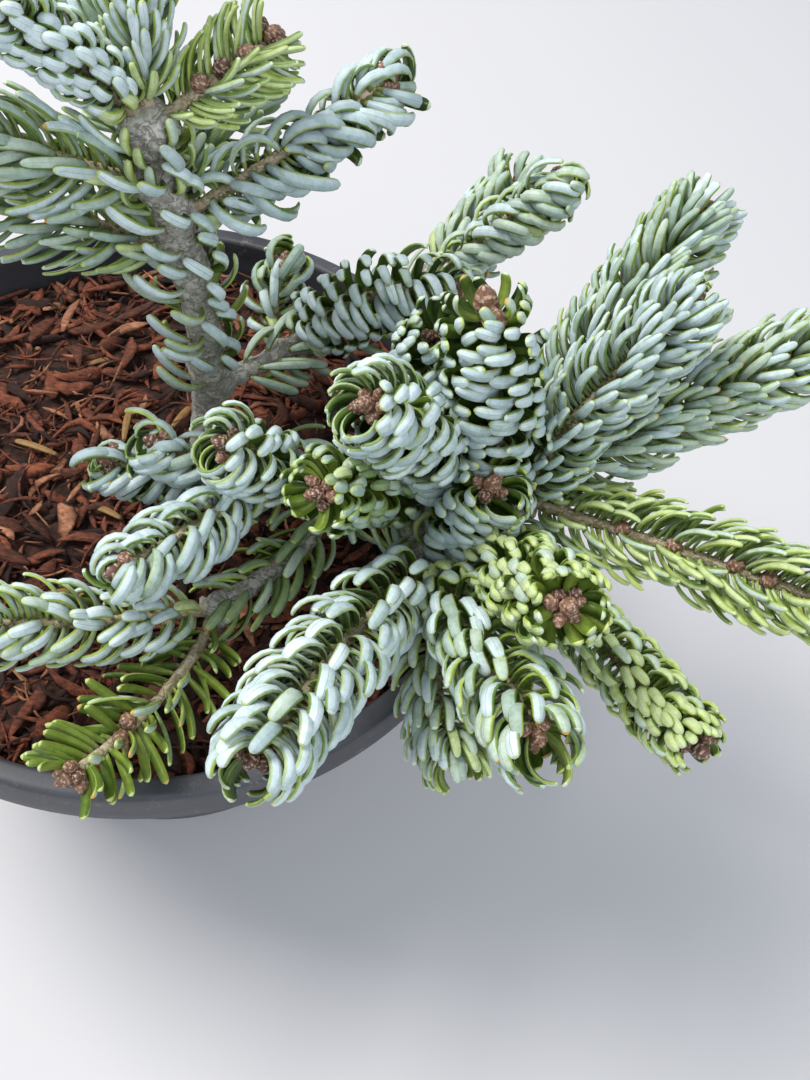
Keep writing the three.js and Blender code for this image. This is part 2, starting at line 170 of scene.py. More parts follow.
def lattice_value(cell, seed):
    """A number from 0 to 1 for each whole-numbered cell, mixed from its three coordinates."""
    x, y, z = (cell[..., axis].astype(np.uint32) * factor for axis, factor in enumerate(AXIS_FACTORS))
    mixed = (x + y + z + np.uint32(seed * SEED_FACTOR % 2**32)).astype(np.uint32)
    mixed = (mixed ^ (mixed >> np.uint32(13))) * MIX_FACTOR
    return (mixed ^ (mixed >> np.uint32(16))) / 2**32


def value_noise(places, size, seed):
    """Noise from -1 to 1 whose lumps are about this size, blended from the eight corners of a cell."""
    scaled = places / size
    cell = np.floor(scaled).astype(np.int64)
    share = scaled - cell
    share = share * share * (3 - 2 * share)
    total = np.zeros(places.shape[:-1])
    for corner in np.ndindex(2, 2, 2):
        weight = np.prod(np.where(np.array(corner) == 1, share, 1 - share), axis=-1)
        total += weight * lattice_value(cell + np.array(corner), seed)
    return total * 2 - 1


def rough_noise(places, size, seed):
    """Layers of value noise, each half as large and half as strong as the one before, over their sum."""
    layers = [value_noise(places, size / 2**k, seed + k) / 2**k for k in range(HALVINGS)]
    return sum(layers) / sum(1 / 2**k for k in range(HALVINGS))


SAMPLE = value_noise(np.random.default_rng(0).random((1000, 3)) * 50, 1.0, 0)
print("value noise lies between", round(SAMPLE.min(), 2), "and", round(SAMPLE.max(), 2))

# %% [markdown]
# Every finish is a node material. The nodes could be wired by hand in the Shader Editor; a few helpers
# keep them in the script and each recipe short. Plain values are set on the shader's own sockets.
# Textures read Object coordinates, which here are metres, because each piece sits at the origin.

# %% Finishes: the helpers
def srgb(red, green, blue):
    """A screen colour from 0 to 255 as the linear colour that the shader needs."""
    share = np.array([red, green, blue]) / 255
    linear = np.where(share <= 0.04045, share / 12.92, ((share + 0.055) / 1.055) ** 2.4)
    return (*linear.tolist(), 1.0)


def new_finish(name, color, roughness, **sockets):
    """A material with these values on its shader, and the tree that its other nodes go into."""
    material = bpy.data.materials.new(name)
    material.use_nodes = True
    inputs = material.node_tree.nodes["Principled BSDF"].inputs
    inputs["Base Color"].default_value = color
    inputs["Roughness"].default_value = roughness
    for socket, value in sockets.items():
        inputs[socket.replace("_", " ")].default_value = value
    return material, material.node_tree


def feed(tree, source, socket="Base Color"):
    """Leads a node's output into a socket of the shader."""
    tree.links.new(source, tree.nodes["Principled BSDF"].inputs[socket])


def texture(tree, scale, stretch=(1, 1, 1), kind="Noise", output="Fac", **inputs):
    """The value of a texture that reads Object coordinates, stretched along the three axes."""
    coordinates = tree.nodes.new("ShaderNodeTexCoord")
    mapping = tree.nodes.new("ShaderNodeMapping")
    mapping.inputs["Scale"].default_value = stretch
    node = tree.nodes.new(f"ShaderNodeTex{kind}")
    for socket, value in dict(Scale=scale, **inputs).items():
        node.inputs[socket].default_value = value
    tree.links.new(coordinates.outputs["Object"], mapping.inputs["Vector"])
    tree.links.new(mapping.outputs["Vector"], node.inputs["Vector"])
    return node.outputs[output]


def ramp(tree, source, *stops):
    """A colour ramp from (place, colour) stops, fed by a texture's value. A bare number is a grey."""
    node = tree.nodes.new("ShaderNodeValToRGB")
    elements = node.color_ramp.elements
    while len(elements) < len(stops):
        elements.new(0.5)
    for element, (place, color) in zip(elements, stops):
        element.position = place
        element.color = color if isinstance(color, tuple) else (color, color, color, 1)
    tree.links.new(source, node.inputs["Fac"])
    return node.outputs["Color"]


def mix(tree, share, first, second, kind="MIX"):
    """Mixes two colours, each a socket or a plain colour, by a share that is a socket or a number."""
    node = tree.nodes.new("ShaderNodeMix")
    node.data_type = "RGBA"
    node.blend_type = kind
    for socket, value in zip((node.inputs[0], node.inputs[6], node.inputs[7]), (share, first, second)):
        if isinstance(value, bpy.types.NodeSocket):
            tree.links.new(value, socket)
        else:
            socket.default_value = value
    return node.outputs[2]


def bump(tree, height, strength, depth):
    """A bump of this depth in metres, laid over the bump that the shader has by then."""
    node = tree.nodes.new("ShaderNodeBump")
    node.inputs["Strength"].default_value = strength
    node.inputs["Distance"].default_value = depth
    tree.links.new(height, node.inputs["Height"])
    for link in tree.nodes["Principled BSDF"].inputs["Normal"].links:
        tree.links.new(link.from_socket, node.inputs["Normal"])
    feed(tree, node.outputs["Normal"], "Normal")


# %% [markdown]
# The plant's plan is the model's own: the same limbs and shoots, in millimetres, with the same lines.
# They could be Bezier curves, but then a share of a line would depend on its handles. Here the trunk
# is a centripetal Catmull-Rom spline and every other line is a quadratic curve, and both are then
# spaced evenly, so that a share of a line means the same place here and in the model.

# %% The plan of the limbs
GROUND = 98
POT_HEIGHT = 110
BOUGH_KNOB = (2.2, 2.8)
TRUNK_KNOB = (3.1, 3.7)
TRUNK_LINE = [[8, 13.5, 94], [9.5, 17, 125], [7, 16, 160], [1.5, 13, 192], [0, 12, 206]]
TRUNK = dict(radius=(5.0, 3.6), knuckle=5.0, knob=TRUNK_KNOB, flare=3.0, whorls=(0.34, 0.66))


def bough(on, at, past, tip, radius, knuckle):
    """A bough's plan: it leaves its parent at a share of it, bends past one place, ends at another,
    tapers from the first radius to the second, and ends in a knuckle of the last radius."""
    return dict(on=on, at=at, past=past, tip=tip, radius=radius, knuckle=knuckle,
                knob=BOUGH_KNOB, flare=0, whorls=())


BOUGHS = {
    "side_stem": bough("trunk", 0.17, (42, 4, 114), (72, -12, 124), (4.3, 3.3), 4.8),
    "right_bough": bough("side_stem", 1, (84, -12, 130), (94, -9, 140), (3, 2.6), 4.2),
    "front_bough": bough("side_stem", 1, (74, -22, 125), (77, -29, 128), (2.8, 2.3), 3.8),
    "low_left_bough": bough("side_stem", 0.64, (46, -26, 119), (29, -46, 121), (3, 2.3), 3.6),
    "near_bough": bough("side_stem", 0.34, (31, -4, 124), (31, -16, 134), (2.8, 2.2), 3.5),
    "back_bough": bough("trunk", 0.28, (20, 28, 124), (29, 43, 123), (3, 2.4), 3.7),
    "far_bough": bough("back_bough", 1, (46, 52, 124), (61, 53, 144), (2.2, 1.8), 3.0),
}
LIMBS = {"trunk": TRUNK, **BOUGHS}


def spaced(points, count):
    """The points of a fine polyline, read again at equal distances along it."""
    steps = np.linalg.norm(np.diff(points, axis=0), axis=1)
    reached = np.concatenate([[0], np.cumsum(steps)])
    wanted = np.linspace(0, reached[-1], count)
    return np.stack([np.interp(wanted, reached, points[:, axis]) for axis in range(3)], axis=1)


def quadratic_line(start, past, tip, count=200):
    """start (1-t)^2 + past 2t(1-t) + tip t^2, spaced evenly."""
    t = np.linspace(0, 1, count)[:, None]
    points = np.array(start) * (1 - t) ** 2 + np.array(past) * 2 * t * (1 - t) + np.array(tip) * t**2
    return spaced(points, count)


def spline_line(knots, count=400):
    """A centripetal Catmull-Rom spline: knots are spaced by the root of their distance, and each
    stretch is the cubic that leaves and reaches its knots with the slopes of their neighbours."""
    knots = np.array(knots, float)
    p = np.concatenate([2 * knots[:1] - knots[1:2], knots, 2 * knots[-1:] - knots[-2:-1]])
    gap = np.sqrt(np.linalg.norm(np.diff(p, axis=0), axis=1))[:, None]
    p0, p1, p2, p3 = p[:-3], p[1:-2], p[2:-1], p[3:]
    g0, g1, g2 = gap[:-2], gap[1:-1], gap[2:]
    leave = ((p1 - p0) / g0 - (p2 - p0) / (g0 + g1) + (p2 - p1) / g1) * g1
    reach = ((p2 - p1) / g1 - (p3 - p1) / (g1 + g2) + (p3 - p2) / g2) * g1
    t = np.linspace(0, 1, count // len(p1))[None, :, None]
    cubic = (p1, leave, 3 * (p2 - p1) - 2 * leave - reach, 2 * (p1 - p2) + leave + reach)
    a, b, c, d = (term[:, None] for term in cubic)
    return spaced((a + b * t + c * t**2 + d * t**3).reshape(-1, 3), count)


def at_share(line, share):
    """The place at a share of an evenly spaced line."""
    where = np.asarray(share) * (len(line) - 1)
    return np.stack([np.interp(where, np.arange(len(line)), line[:, axis]) for axis in range(3)], axis=-1)


def length_of(line):
    """The sum of the lengths of a line's steps."""
    return float(np.linalg.norm(np.diff(line, axis=0), axis=1).sum())


LINES = {"trunk": spline_line(TRUNK_LINE)}
for limb, plan in BOUGHS.items():
    LINES[limb] = quadratic_line(at_share(LINES[plan["on"]], plan["at"]), plan["past"], plan["tip"])
print("limbs in mm:", {limb: round(length_of(line)) for limb, line in LINES.items()})

# %% [markdown]
# A tube needs directions: along its line, from the line's slope, and two across it. Those could turn
# with the bend of the line, as they do on Blender's curves. Here they are found against one fixed
# axis, the one that the line runs along least, which is simpler and never flips within a limb.

# %% Directions along a line
def unit(vectors):
    """Each vector over its own length."""
    return vectors / np.linalg.norm(vectors, axis=-1, keepdims=True)


def swing(first, second, angle):
    """first cos a + second sin a: a direction that turns from the first towards the second."""
    return first * np.cos(angle)[..., None] + second * np.sin(angle)[..., None]


def polar(reach, angle):
    """x = reach cos a, and y = reach sin a."""
    return reach * np.cos(angle), reach * np.sin(angle)


def round_angles(count):
    """Angles that share out a full turn evenly."""
    return np.linspace(0, 2 * np.pi, count, endpoint=False)


def between(pair, share):
    """The first number of a pair, moved by a share towards the second."""
    return pair[0] + (pair[1] - pair[0]) * share


def line_frames(line):
    """Unit vectors along a line and two across it."""
    along = unit(np.gradient(line, axis=0))
    spare = np.eye(3)[np.argmin(np.abs(line[-1] - line[0]))]
    across = unit(np.cross(along, spare))
    return along, across, np.cross(across, along)


def tube(line, radius, sides):
    """Places round a line, rings by sides by three: centre + radius (across cos a + other sin a). The
    radius is one number, or a column with one for each ring, or one for each place."""
    _, across, other = line_frames(line)
    turned = swing(across[:, None], other[:, None], round_angles(sides))
    return line[:, None] + turned * np.asarray(radius)[..., None]


print("the trunk's top points along", line_frames(LINES["trunk"])[0][-1].round(2))

# %% [markdown]
# The bark of so young a fir is thin and grey. It wrinkles at each year's whorl, where the side shoots
# leave and the limb swells, and it keeps the round scars of the needles that it has shed. A bump in
# the material could hint at that, but it would look flat at the limb's edge, so the relief is real:
# each limb is a dense tube whose radius is taper + swellings + scars + noise. The round end of each
# bough is the swollen knuckle that its shoots grow out of. Heights and sizes are in millimetres.

# %% Bark relief
RING_STEP = 0.55
SIDE_STEP = 0.6
SCAR_SPACING = 2.6
SCARS_ROUND = 1.6
SCAR_SIZE = 0.75
SCAR_HEIGHT = 0.28
SCAR_SCATTER = 0.2
WHORL_SHARE = 0.035
WHORL_SWELL = 0.8
CROWN_SHARE = 0.13
FLARE_SHARE = 0.09
LOBE_SHARE = 0.12
LOBES = 3
LOBE_DEPTH = 0.16
SWELL_RATE = 0.9
RIDGE_HEIGHT = 1.5
RIDGE_SIZE = 3.2
RIDGE_STRETCH = np.array([0.8, 0.8, 1.3])
GOLDEN_ANGLE = math.pi * (3 - math.sqrt(5))
NEARLY_CLOSED = 0.995
# The height and the size of each kind of roughness.
FINE_WRINKLES = (0.3, 1.9)
BROAD_WRINKLES = (0.34, 4.5)
FINE_LUMPS = (2.1, 2.4)
BROAD_LUMPS = (1.2, 5.5)


def hump(distance, size):
    """A Gaussian of the distance: 1 at none, and next to nothing past twice the size."""
    return np.exp(-((distance / size) ** 2))


def raised(noise, places, kind, seed):
    """A noise of one kind of roughness: its height times the noise of its size."""
    height, size = kind
    return height * noise(places, size, seed)


def scar_relief(length, reached, angle, radius, seed):
    """Small round bumps on a spiral: a Gaussian of the distance on the bark to each scar."""
    random = np.random.default_rng(seed)
    count = max(1, int(length / SCAR_SPACING * SCARS_ROUND))
    places = (np.arange(count) + random.random(count)) / count * length
    turns = np.arange(count) * GOLDEN_ANGLE + random.normal(0, SCAR_SCATTER, count)
    sideways = (angle[None, :] - turns[:, None] + np.pi) % (2 * np.pi) - np.pi
    return SCAR_HEIGHT * hump(reached[:, None] - places[None], SCAR_SIZE) @ hump(sideways * radius, SCAR_SIZE)


def knob_relief(limb, radius, places, height, size):
    """A swelling round the root of each side shoot or bough: a Gaussian of the distance to the place
    where it breaks through the bark."""
    plans = [plan for plan in [*BOUGHS.values(), *SHOOTS.values()] if plan["on"] == limb]
    feet = np.array([at_share(LINES[limb], plan["at"]) for plan in plans])
    knobs = feet + unit(np.array([plan["past"] for plan in plans]) - feet) * radius
    gap = np.linalg.norm(places[:, :, None] - knobs[None, None], axis=-1)
    return height * hump(gap, size).max(axis=-1)


def limb_places(limb, seed):
    """A dense tube past the end of the line, closed by the ball of the knuckle, with its relief."""
    plan = LIMBS[limb]
    line = LINES[limb]
    knuckle = plan["knuckle"]
    length = length_of(line)
    rings = int((length + knuckle) / RING_STEP)
    reached = np.linspace(0, length + knuckle * NEARLY_CLOSED, rings)
    share = np.minimum(reached / length, 1)
    beyond = np.maximum(reached - length, 0)
    centre = at_share(line, share) + unit(line[-1] - line[-2]) * beyond[:, None]
    taper = between(plan["radius"], share)
    swell = (knuckle - plan["radius"][1]) * np.exp(-(((length - reached) / knuckle) ** 2) * SWELL_RATE)
    ball = np.sqrt(np.maximum(1 - (beyond / knuckle) ** 2, 0))
    nodes = sum(hump(share - whorl, WHORL_SHARE) for whorl in (*plan["whorls"], 1.0))
    flare = plan["flare"] * np.maximum(0, 1 - share / FLARE_SHARE) ** 2
    size = ((taper + swell + WHORL_SWELL * nodes) * ball + flare)[:, None]
    sides = int(2 * np.pi * plan["radius"][0] / SIDE_STEP)
    angle = round_angles(sides)
    plain = tube(centre, size, sides)
    wrinkles = raised(rough_noise, plain, FINE_WRINKLES, seed)
    wrinkles += raised(value_noise, plain, BROAD_WRINKLES, seed + 9)
    ridges = RIDGE_HEIGHT * nodes[:, None] * rough_noise(plain * RIDGE_STRETCH, RIDGE_SIZE, seed + 5)
    scars = scar_relief(length, reached, angle, plan["radius"][0], seed)
    lumps = raised(rough_noise, plain, FINE_LUMPS, seed + 11)
    lumps += raised(value_noise, plain, BROAD_LUMPS, seed + 13)
    relief = wrinkles + scars + ridges + hump(1 - share, CROWN_SHARE)[:, None] * lumps
    lobes = LOBE_DEPTH * plan["flare"] * np.cos(LOBES * angle + seed)[None]
    lobes = lobes * np.maximum(0, 1 - share / LOBE_SHARE)[:, None]
    knobs = knob_relief(limb, taper.mean(), plain, *plan["knob"])
    return tube(centre, size + (relief * ball[:, None] + lobes + knobs * ball[:, None]), sides)


# %% [markdown]
# Young bark is a pale warm grey, browner in its pores, with dark cracks that wander over it and a green
# tinge of algae in broad patches. A bark photograph could be wrapped round it, but it would show its
# seams and its repeats. Three noises do it here, other ones than the relief's, so that colour and
# shape don't copy each other. The cracks lie where the wrinkle noise passes through its middle value.
# Where that noise is low, in the hollows of its bump, the bark is darkened as painted shade.

# %% Finish: bark
def bark_finish(name, light, dark, tinge):
    """Light with dark pores and tinged patches, then painted shade in the wrinkles' hollows and dark cracks,
    with three bumps.
    """
    material, tree = new_finish(name, light, 0.85)
    fine = texture(tree, 560, Detail=7, Roughness=0.75)
    broad = texture(tree, 110, Detail=3)
    wrinkle = texture(tree, 260, stretch=(1, 1, 1.6), Detail=5, Distortion=0.9)
    base = ramp(tree, fine, (0.32, dark), (0.56, light))
    tinted = mix(tree, ramp(tree, broad, (0.48, 0), (0.7, 0.5)), base, tinge)
    # Painted shade: the bark is darkened where the wrinkle noise is low, in the hollows of its bump.
    shaded_hollows = mix(tree, ramp(tree, wrinkle, (0.34, 0.6), (0.46, 0)), tinted, dark)
    cracks = ramp(tree, wrinkle, (0.45, 1), (0.5, 0.25), (0.55, 1))
    feed(tree, mix(tree, cracks, dark, shaded_hollows))
    bump(tree, wrinkle, 0.6, 0.0008)
    bump(tree, cracks, 0.7, 0.0005)
    bump(tree, fine, 0.7, 0.0005)
    return material


OLD_BARK = bark_finish("old_bark", srgb(214, 210, 201), srgb(128, 120, 110), srgb(166, 170, 150))
YOUNG_BARK = bark_finish("young_bark", srgb(206, 192, 164), srgb(146, 126, 98), srgb(164, 158, 112))
print("bark finishes:", OLD_BARK.name, YOUNG_BARK.name)

# %% [markdown]
# Each shoot is one year's growth: a straight or gently bent twig with needles all round it. Hair
# particles could carry the needles, but they don't curl in rows as this fir's do. So a habit says how
# the needles stand: the angle at which they leave the twig, how far they then curl towards its tip and
# with what power, how wide a parting they leave along the top, how far down the sides they reach, and
# how much they also wrap round the twig, away from its top. A needle that wraps shows its silver back
# like a hoop on a barrel; a flat needle bends up a little instead and shows its green side. The habit
# also has the needle's width, the needles in a millimetre of twig, and how loosely they keep to it.
# A shoot with a rosette opens at its tip: the last needles are short and stand out round the buds.

# %% The plan of the shoots
HABIT_VALUES = ("leave", "curl", "power", "part", "reach", "wrap", "width", "density", "loose")
HABITS = {
    "curled": (82, 140, 1.7, 10, 150, 1.0, 2.9, 2.4, 1.0),
    "hooped": (84, 150, 1.6, 8, 152, 2.4, 2.9, 2.5, 0.9),
    "rolled": (80, 124, 1.7, 8, 158, 0.6, 2.8, 2.6, 1.1),
    "beaded": (84, 150, 2.2, 4, 165, 0.2, 2.8, 2.9, 0.9),
    "hooked": (84, 200, 1.0, 0, 170, 1.7, 3.0, 1.6, 1.3),
    "lying": (76, 94, 1.8, 4, 155, 0.4, 2.6, 3.1, 1.2),
    "straight": (64, 74, 1.4, 4, 155, 0.3, 2.6, 2.4, 1.4),
    "brush": (58, 54, 1.6, 0, 170, 0.0, 2.0, 3.6, 1.5),
    "open": (64, 52, 1.7, 12, 140, 0.1, 2.3, 2.4, 1.5),
    "flat": (62, 34, 1.7, 30, 118, -1.0, 2.2, 1.3, 2.6),
}
UPWARD = (0, 0, 1.0)
TO_CAMERA = (0.1, -0.5, 0.85)
TIP_LOSS = 0.3


def shoot(on, at, past, tip, habit, long, tone, **own):
    """A shoot's plan: its line, its needles' length and tone, its habit's values, and its own ones."""
    plan = dict(on=on, at=at, past=past, tip=tip, long=long, tone=tone, above=UPWARD, rosette=0,
                tip_loss=TIP_LOSS)
    return plan | dict(zip(HABIT_VALUES, HABITS[habit])) | own


SHOOTS = {
    "right_shoot_1": shoot("right_bough", 1, (95, 10, 158), (121, 50, 186), "lying", 15, "grey",
                           width=2.2, density=4.0),
    "right_shoot_2": shoot("right_bough", 1, (95, -8, 162), (117, 10, 192), "lying", 14.5, "steel",
                           width=2.2, density=4.0),
    "right_shoot_3": shoot("right_bough", 1, (112, 2, 158), (149, 16, 184), "lying", 14.5, "sage",
                           width=2.2, density=4.0),
    "right_shoot_4": shoot("right_bough", 1, (114, -16, 147), (161, -41, 169), "open", 15.5, "lime",
                           width=1.9, density=2.6, curl=74, part=20, above=TO_CAMERA),
    "right_shoot_5": shoot("right_bough", 0.72, (104, -24, 130), (137, -66, 146), "beaded", 12, "lime",
                           rosette=0.8, density=2.9, power=2.4, width=2.6),
    "middle_shoot_1": shoot("right_bough", 0.6, (89, -11, 156), (76, -6, 193), "hooped", 17, "steel",
                            above=(0.3, 1, 0.2), rosette=1),
    "middle_shoot_2": shoot("side_stem", 1, (77, -2, 158), (57, -29, 185), "hooped", 17.5, "frost",
                            width=3.1, rosette=0.6, tip_loss=0.4),
    "middle_shoot_3": shoot("side_stem", 0.9, (64, -10, 144), (50, -35, 161), "beaded", 15, "moss",
                            rosette=1),
    "middle_shoot_4": shoot("front_bough", 0.55, (82, -19, 140), (85, -23, 159), "hooped", 16.5, "frost",
                            rosette=0.5),
    "middle_shoot_5": shoot("right_bough", 0.4, (92, -26, 134), (102, -58, 174), "beaded", 15, "lime",
                            rosette=1),
    "middle_shoot_6": shoot("side_stem", 0.82, (64, 8, 142), (67, 2, 176), "rolled", 16.5, "frost"),
    "front_shoot_1": shoot("front_bough", 1, (67, -42, 142), (51, -94, 157), "curled", 17, "frost",
                           width=3.3, density=2.1),
    "front_shoot_2": shoot("front_bough", 1, (80, -42, 116), (91, -67, 116), "lying", 15, "sage"),
    "front_shoot_3": shoot("front_bough", 1, (86, -42, 140), (102, -77, 157), "rolled", 16.5, "grey",
                           width=3.1, density=2.3, tip_loss=0.1),
    "left_shoot_1": shoot("near_bough", 1, (10, -16, 127), (-3, -21, 135), "hooked", 17.5, "frost",
                          tip_loss=0.05),
    "left_spur": shoot("near_bough", 0.85, (20, -18, 138), (9.5, -22, 147), "hooked", 16, "frost",
                       tip_loss=0.1),
    "left_shoot_2": shoot("near_bough", 1, (37, -20, 151), (28, -29, 162), "hooped", 16, "frost"),
    "left_shoot_3": shoot("near_bough", 1, (26, -37, 144), (13, -57, 150), "hooked", 18, "steel",
                          density=1.9, loose=1.5),
    "left_shoot_4": shoot("low_left_bough", 1, (8, -60, 126), (-19, -72, 137), "lying", 14, "silver",
                          width=2.8, density=2.0),
    "left_shoot_5": shoot("low_left_bough", 1, (28, -66, 116), (12, -94, 125), "flat", 14.5, "green"),
    "back_shoot_1": shoot("back_bough", 0.74, (18, 44, 124), (20.5, 51, 140.5), "hooked", 18, "sage",
                          tip_loss=0.1),
    "back_shoot_2": shoot("back_bough", 1, (44, 40, 154), (67, 42, 153), "hooped", 17, "frost",
                          rosette=0.6, above=(0.0, 1, 0.35)),
    "back_shoot_3": shoot("far_bough", 1, (70, 56, 160), (87, 55, 183), "hooked", 17, "sage",
                          density=2.0, loose=1.5),
    "back_shoot_4": shoot("far_bough", 1, (66, 66, 144), (80, 86, 156), "lying", 16, "sage"),
    # This shoot's white tone is partly painted light: it keeps the top of the crown bright.
    "top_shoot_1": shoot("trunk", 1, (-12, 7, 226), (-32, -2, 238), "beaded", 10.5, "white", density=3.8),
    "top_shoot_2": shoot("trunk", 1, (-2, 18, 226), (-8, 28, 252), "brush", 12, "mist", density=4.6),
    "top_shoot_3": shoot("trunk", 1, (12, 15, 217), (20, 30, 219), "open", 13, "lime", rosette=2.5,
                         width=1.5, density=3.4, tip_loss=0.2, above=TO_CAMERA, part=34, reach=146),
    "top_shoot_4": shoot("trunk", 0.78, (24, 16, 200), (43, 42, 208), "hooked", 20, "steel",
                         tip_loss=0.05, density=1.8, wrap=1.2, loose=1.8),
    "top_shoot_5": shoot("trunk", 0.86, (-16, 5, 200), (-40, -4, 208), "straight", 20, "sage"),
    "top_shoot_6": shoot("trunk", 0.7, (-14, 10, 180), (-34, 6, 184), "open", 18, "moss"),
    "top_shoot_7": shoot("trunk", 0.92, (-12, 30, 208), (-32, 48, 222), "straight", 18.5, "sage"),
    "top_shoot_8": shoot("trunk", 0.82, (6, 30, 190), (12, 46, 198), "open", 13, "moss"),
}
SHOOT_LINES = {
    name: quadratic_line(at_share(LINES[plan["on"]], plan["at"]), plan["past"], plan["tip"])
    for name, plan in SHOOTS.items()
}
print("shoots in mm:", {name: round(length_of(line)) for name, line in SHOOT_LINES.items()})

# %% [markdown]
# With the shoots planned, the limbs can be made: the bark swells where each shoot breaks through it.
# All limbs could be one piece, but each takes the place of its own part of the model, so each is one.

# %% Trunk and boughs
TRUNK_SEED = 3
BOUGH_SEED = 20


def add_limbs():
    """One piece of bark for the trunk and for each bough, each from a seed of its own."""
    for limb, seed in zip(LIMBS, [TRUNK_SEED, *range(BOUGH_SEED, BOUGH_SEED + len(BOUGHS))]):
        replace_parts(add_piece(f"{limb}_bark", limb_places(limb, seed), [OLD_BARK]), limb)


add_limbs()

# %% [markdown]
# A needle of this fir is a flat blade, 1.5 to 3.3 mm wide, with a blunt tip. Its back has two bands of
# silver wax with a thin rib between them and a green margin outside; its upper side is dark
# green and glossy; its foot and tip are yellower. One needle could be modelled and copied, but a copy
# bent to another curl is a new mesh anyway, so all are worked out at once. The blade's section has six
# points. Its line leaves the twig in one direction and turns from there towards another one, square
# to the first, by curl times share^power, so it bends more and more on the way to its tip. The steps
# between its stations are then summed up.

# %% Needle blades
STATIONS = np.array([0, 0.1, 0.23, 0.36, 0.49, 0.61, 0.72, 0.82, 0.91, 0.968, 1.0])
STATION_WIDTH = np.array([0.34, 0.58, 0.79, 0.92, 0.98, 1.0, 0.99, 0.96, 0.88, 0.66, 0.26])
SECTION = np.array([[-1, -0.3], [-0.8, 0.5], [-0.05, 1.0], [0.05, 1.0], [0.8, 0.5], [1, -0.3]])
WAX, RIB, MARGIN, UPPER, TIP, FOOT = range(6)
SIDE_PARTS = np.tile([MARGIN, WAX, RIB, WAX, MARGIN, UPPER], (len(STATIONS) - 1, 1))
SIDE_PARTS[0] = FOOT
SIDE_PARTS[-1] = TIP
CAP_PARTS = np.array([FOOT, TIP])
print("faces of a needle:", SIDE_PARTS.size + CAP_PARTS.size)


def needle_places(root, along, outward, above, leave, curl, power, wrap, length, width, thickness):
    """Places of all needles: needles by stations by section points by three."""
    start = swing(along, outward, leave)
    forward = swing(-outward, along, leave)
    round_twig = start * (start * above).sum(-1, keepdims=True) - above
    bend = forward + round_twig * wrap[:, None]
    bend = unit(bend - start * (bend * start).sum(-1, keepdims=True))
    angle = curl[:, None] * STATIONS ** power[:, None]
    heading = swing(start[:, None], bend[:, None], angle)
    back = swing(-bend[:, None], start[:, None], angle)
    step = (heading[:, 1:] + heading[:, :-1]) / 2 * (np.diff(STATIONS) * length[:, None])[..., None]
    centre = root[:, None] + np.concatenate([np.zeros((len(root), 1, 3)), np.cumsum(step, axis=1)], axis=1)
    side = np.cross(heading, back)
    half = STATION_WIDTH[None, :, None] * width[:, None, None] / 2
    thick = np.sqrt(STATION_WIDTH)[None, :, None] * thickness[:, None, None] / 2
    return (
        centre[:, :, None]
        + side[:, :, None] * (half * SECTION[:, 0])[..., None]
        + back[:, :, None] * (thick * SECTION[:, 1])[..., None]
    )


# %% [markdown]
# Silver and green have fixed places on a needle. An image could paint them, but it would need a
# layout for each needle, so each part of the needle has finishes of its own: plain base colours with
# a little darker streaking. A tone is a recipe that lists, for each part, the finishes to draw from; a
# word that stands there twice is drawn more often. Frosted shoots draw the palest wax, and the green
# shoot has wax so thin that it hardly shows. The white tone is paler still, as painted light on one top
# shoot.

# %% Finish: needles
SPECKS = 0.25
LEAF_COLORS = {
    "wax_white": ((218, 230, 235), (180, 202, 196), 0.6),
    "wax_pale": ((203, 217, 223), (158, 184, 172), 0.6),
    "wax_blue": ((180, 196, 202), (138, 163, 150), 0.58),
    "wax_sage": ((190, 205, 190), (146, 169, 132), 0.58),
    "wax_grey": ((170, 188, 178), (124, 149, 120), 0.56),
    "wax_green": ((148, 168, 124), (106, 132, 72), 0.52),
    "wax_lime": ((200, 212, 156), (152, 174, 92), 0.52),
    "rib_pale": ((186, 203, 202), (156, 178, 168), 0.5),
    "rib_grey": ((164, 186, 168), (130, 154, 124), 0.5),
    "edge_pale": ((172, 190, 146), (136, 158, 98), 0.45),
    "edge_green": ((128, 154, 84), (94, 122, 50), 0.4),
    "edge_lime": ((172, 190, 98), (134, 158, 64), 0.4),
    "upper_deep": ((66, 88, 32), (40, 58, 18), 0.3),
    "upper_green": ((96, 120, 44), (64, 88, 26), 0.32),
    "upper_lime": ((128, 148, 60), (92, 116, 38), 0.34),
    "tip_lime": ((194, 208, 134), (158, 178, 90), 0.42),
    "tip_pale": ((208, 222, 194), (172, 192, 140), 0.48),
    "foot_lime": ((152, 164, 98), (118, 130, 62), 0.5),
    "tip_amber": ((206, 170, 88), (164, 120, 56), 0.5),
    "dead_tan": ((150, 116, 66), (112, 80, 44), 0.6),
    "dead_brown": ((104, 70, 40), (70, 44, 28), 0.65),
}


def leaf_finish(name, color, shade, roughness):
    """A base colour with streaks and specks of the darker shade, and a fine waxy grain."""
    color, shade = srgb(*color), srgb(*shade)
    material, tree = new_finish(name, color, roughness, Specular_IOR_Level=0.4)
    cloud = texture(tree, 420, Detail=5, Roughness=0.7)
    pores = texture(tree, 2400, Detail=2)
    streaked = mix(tree, ramp(tree, cloud, (0.42, 0), (0.7, 0.8)), color, shade)
    feed(tree, mix(tree, ramp(tree, pores, (0.62, 0), (0.7, SPECKS)), streaked, shade))
    bump(tree, pores, 0.3, 0.0001)
    return material


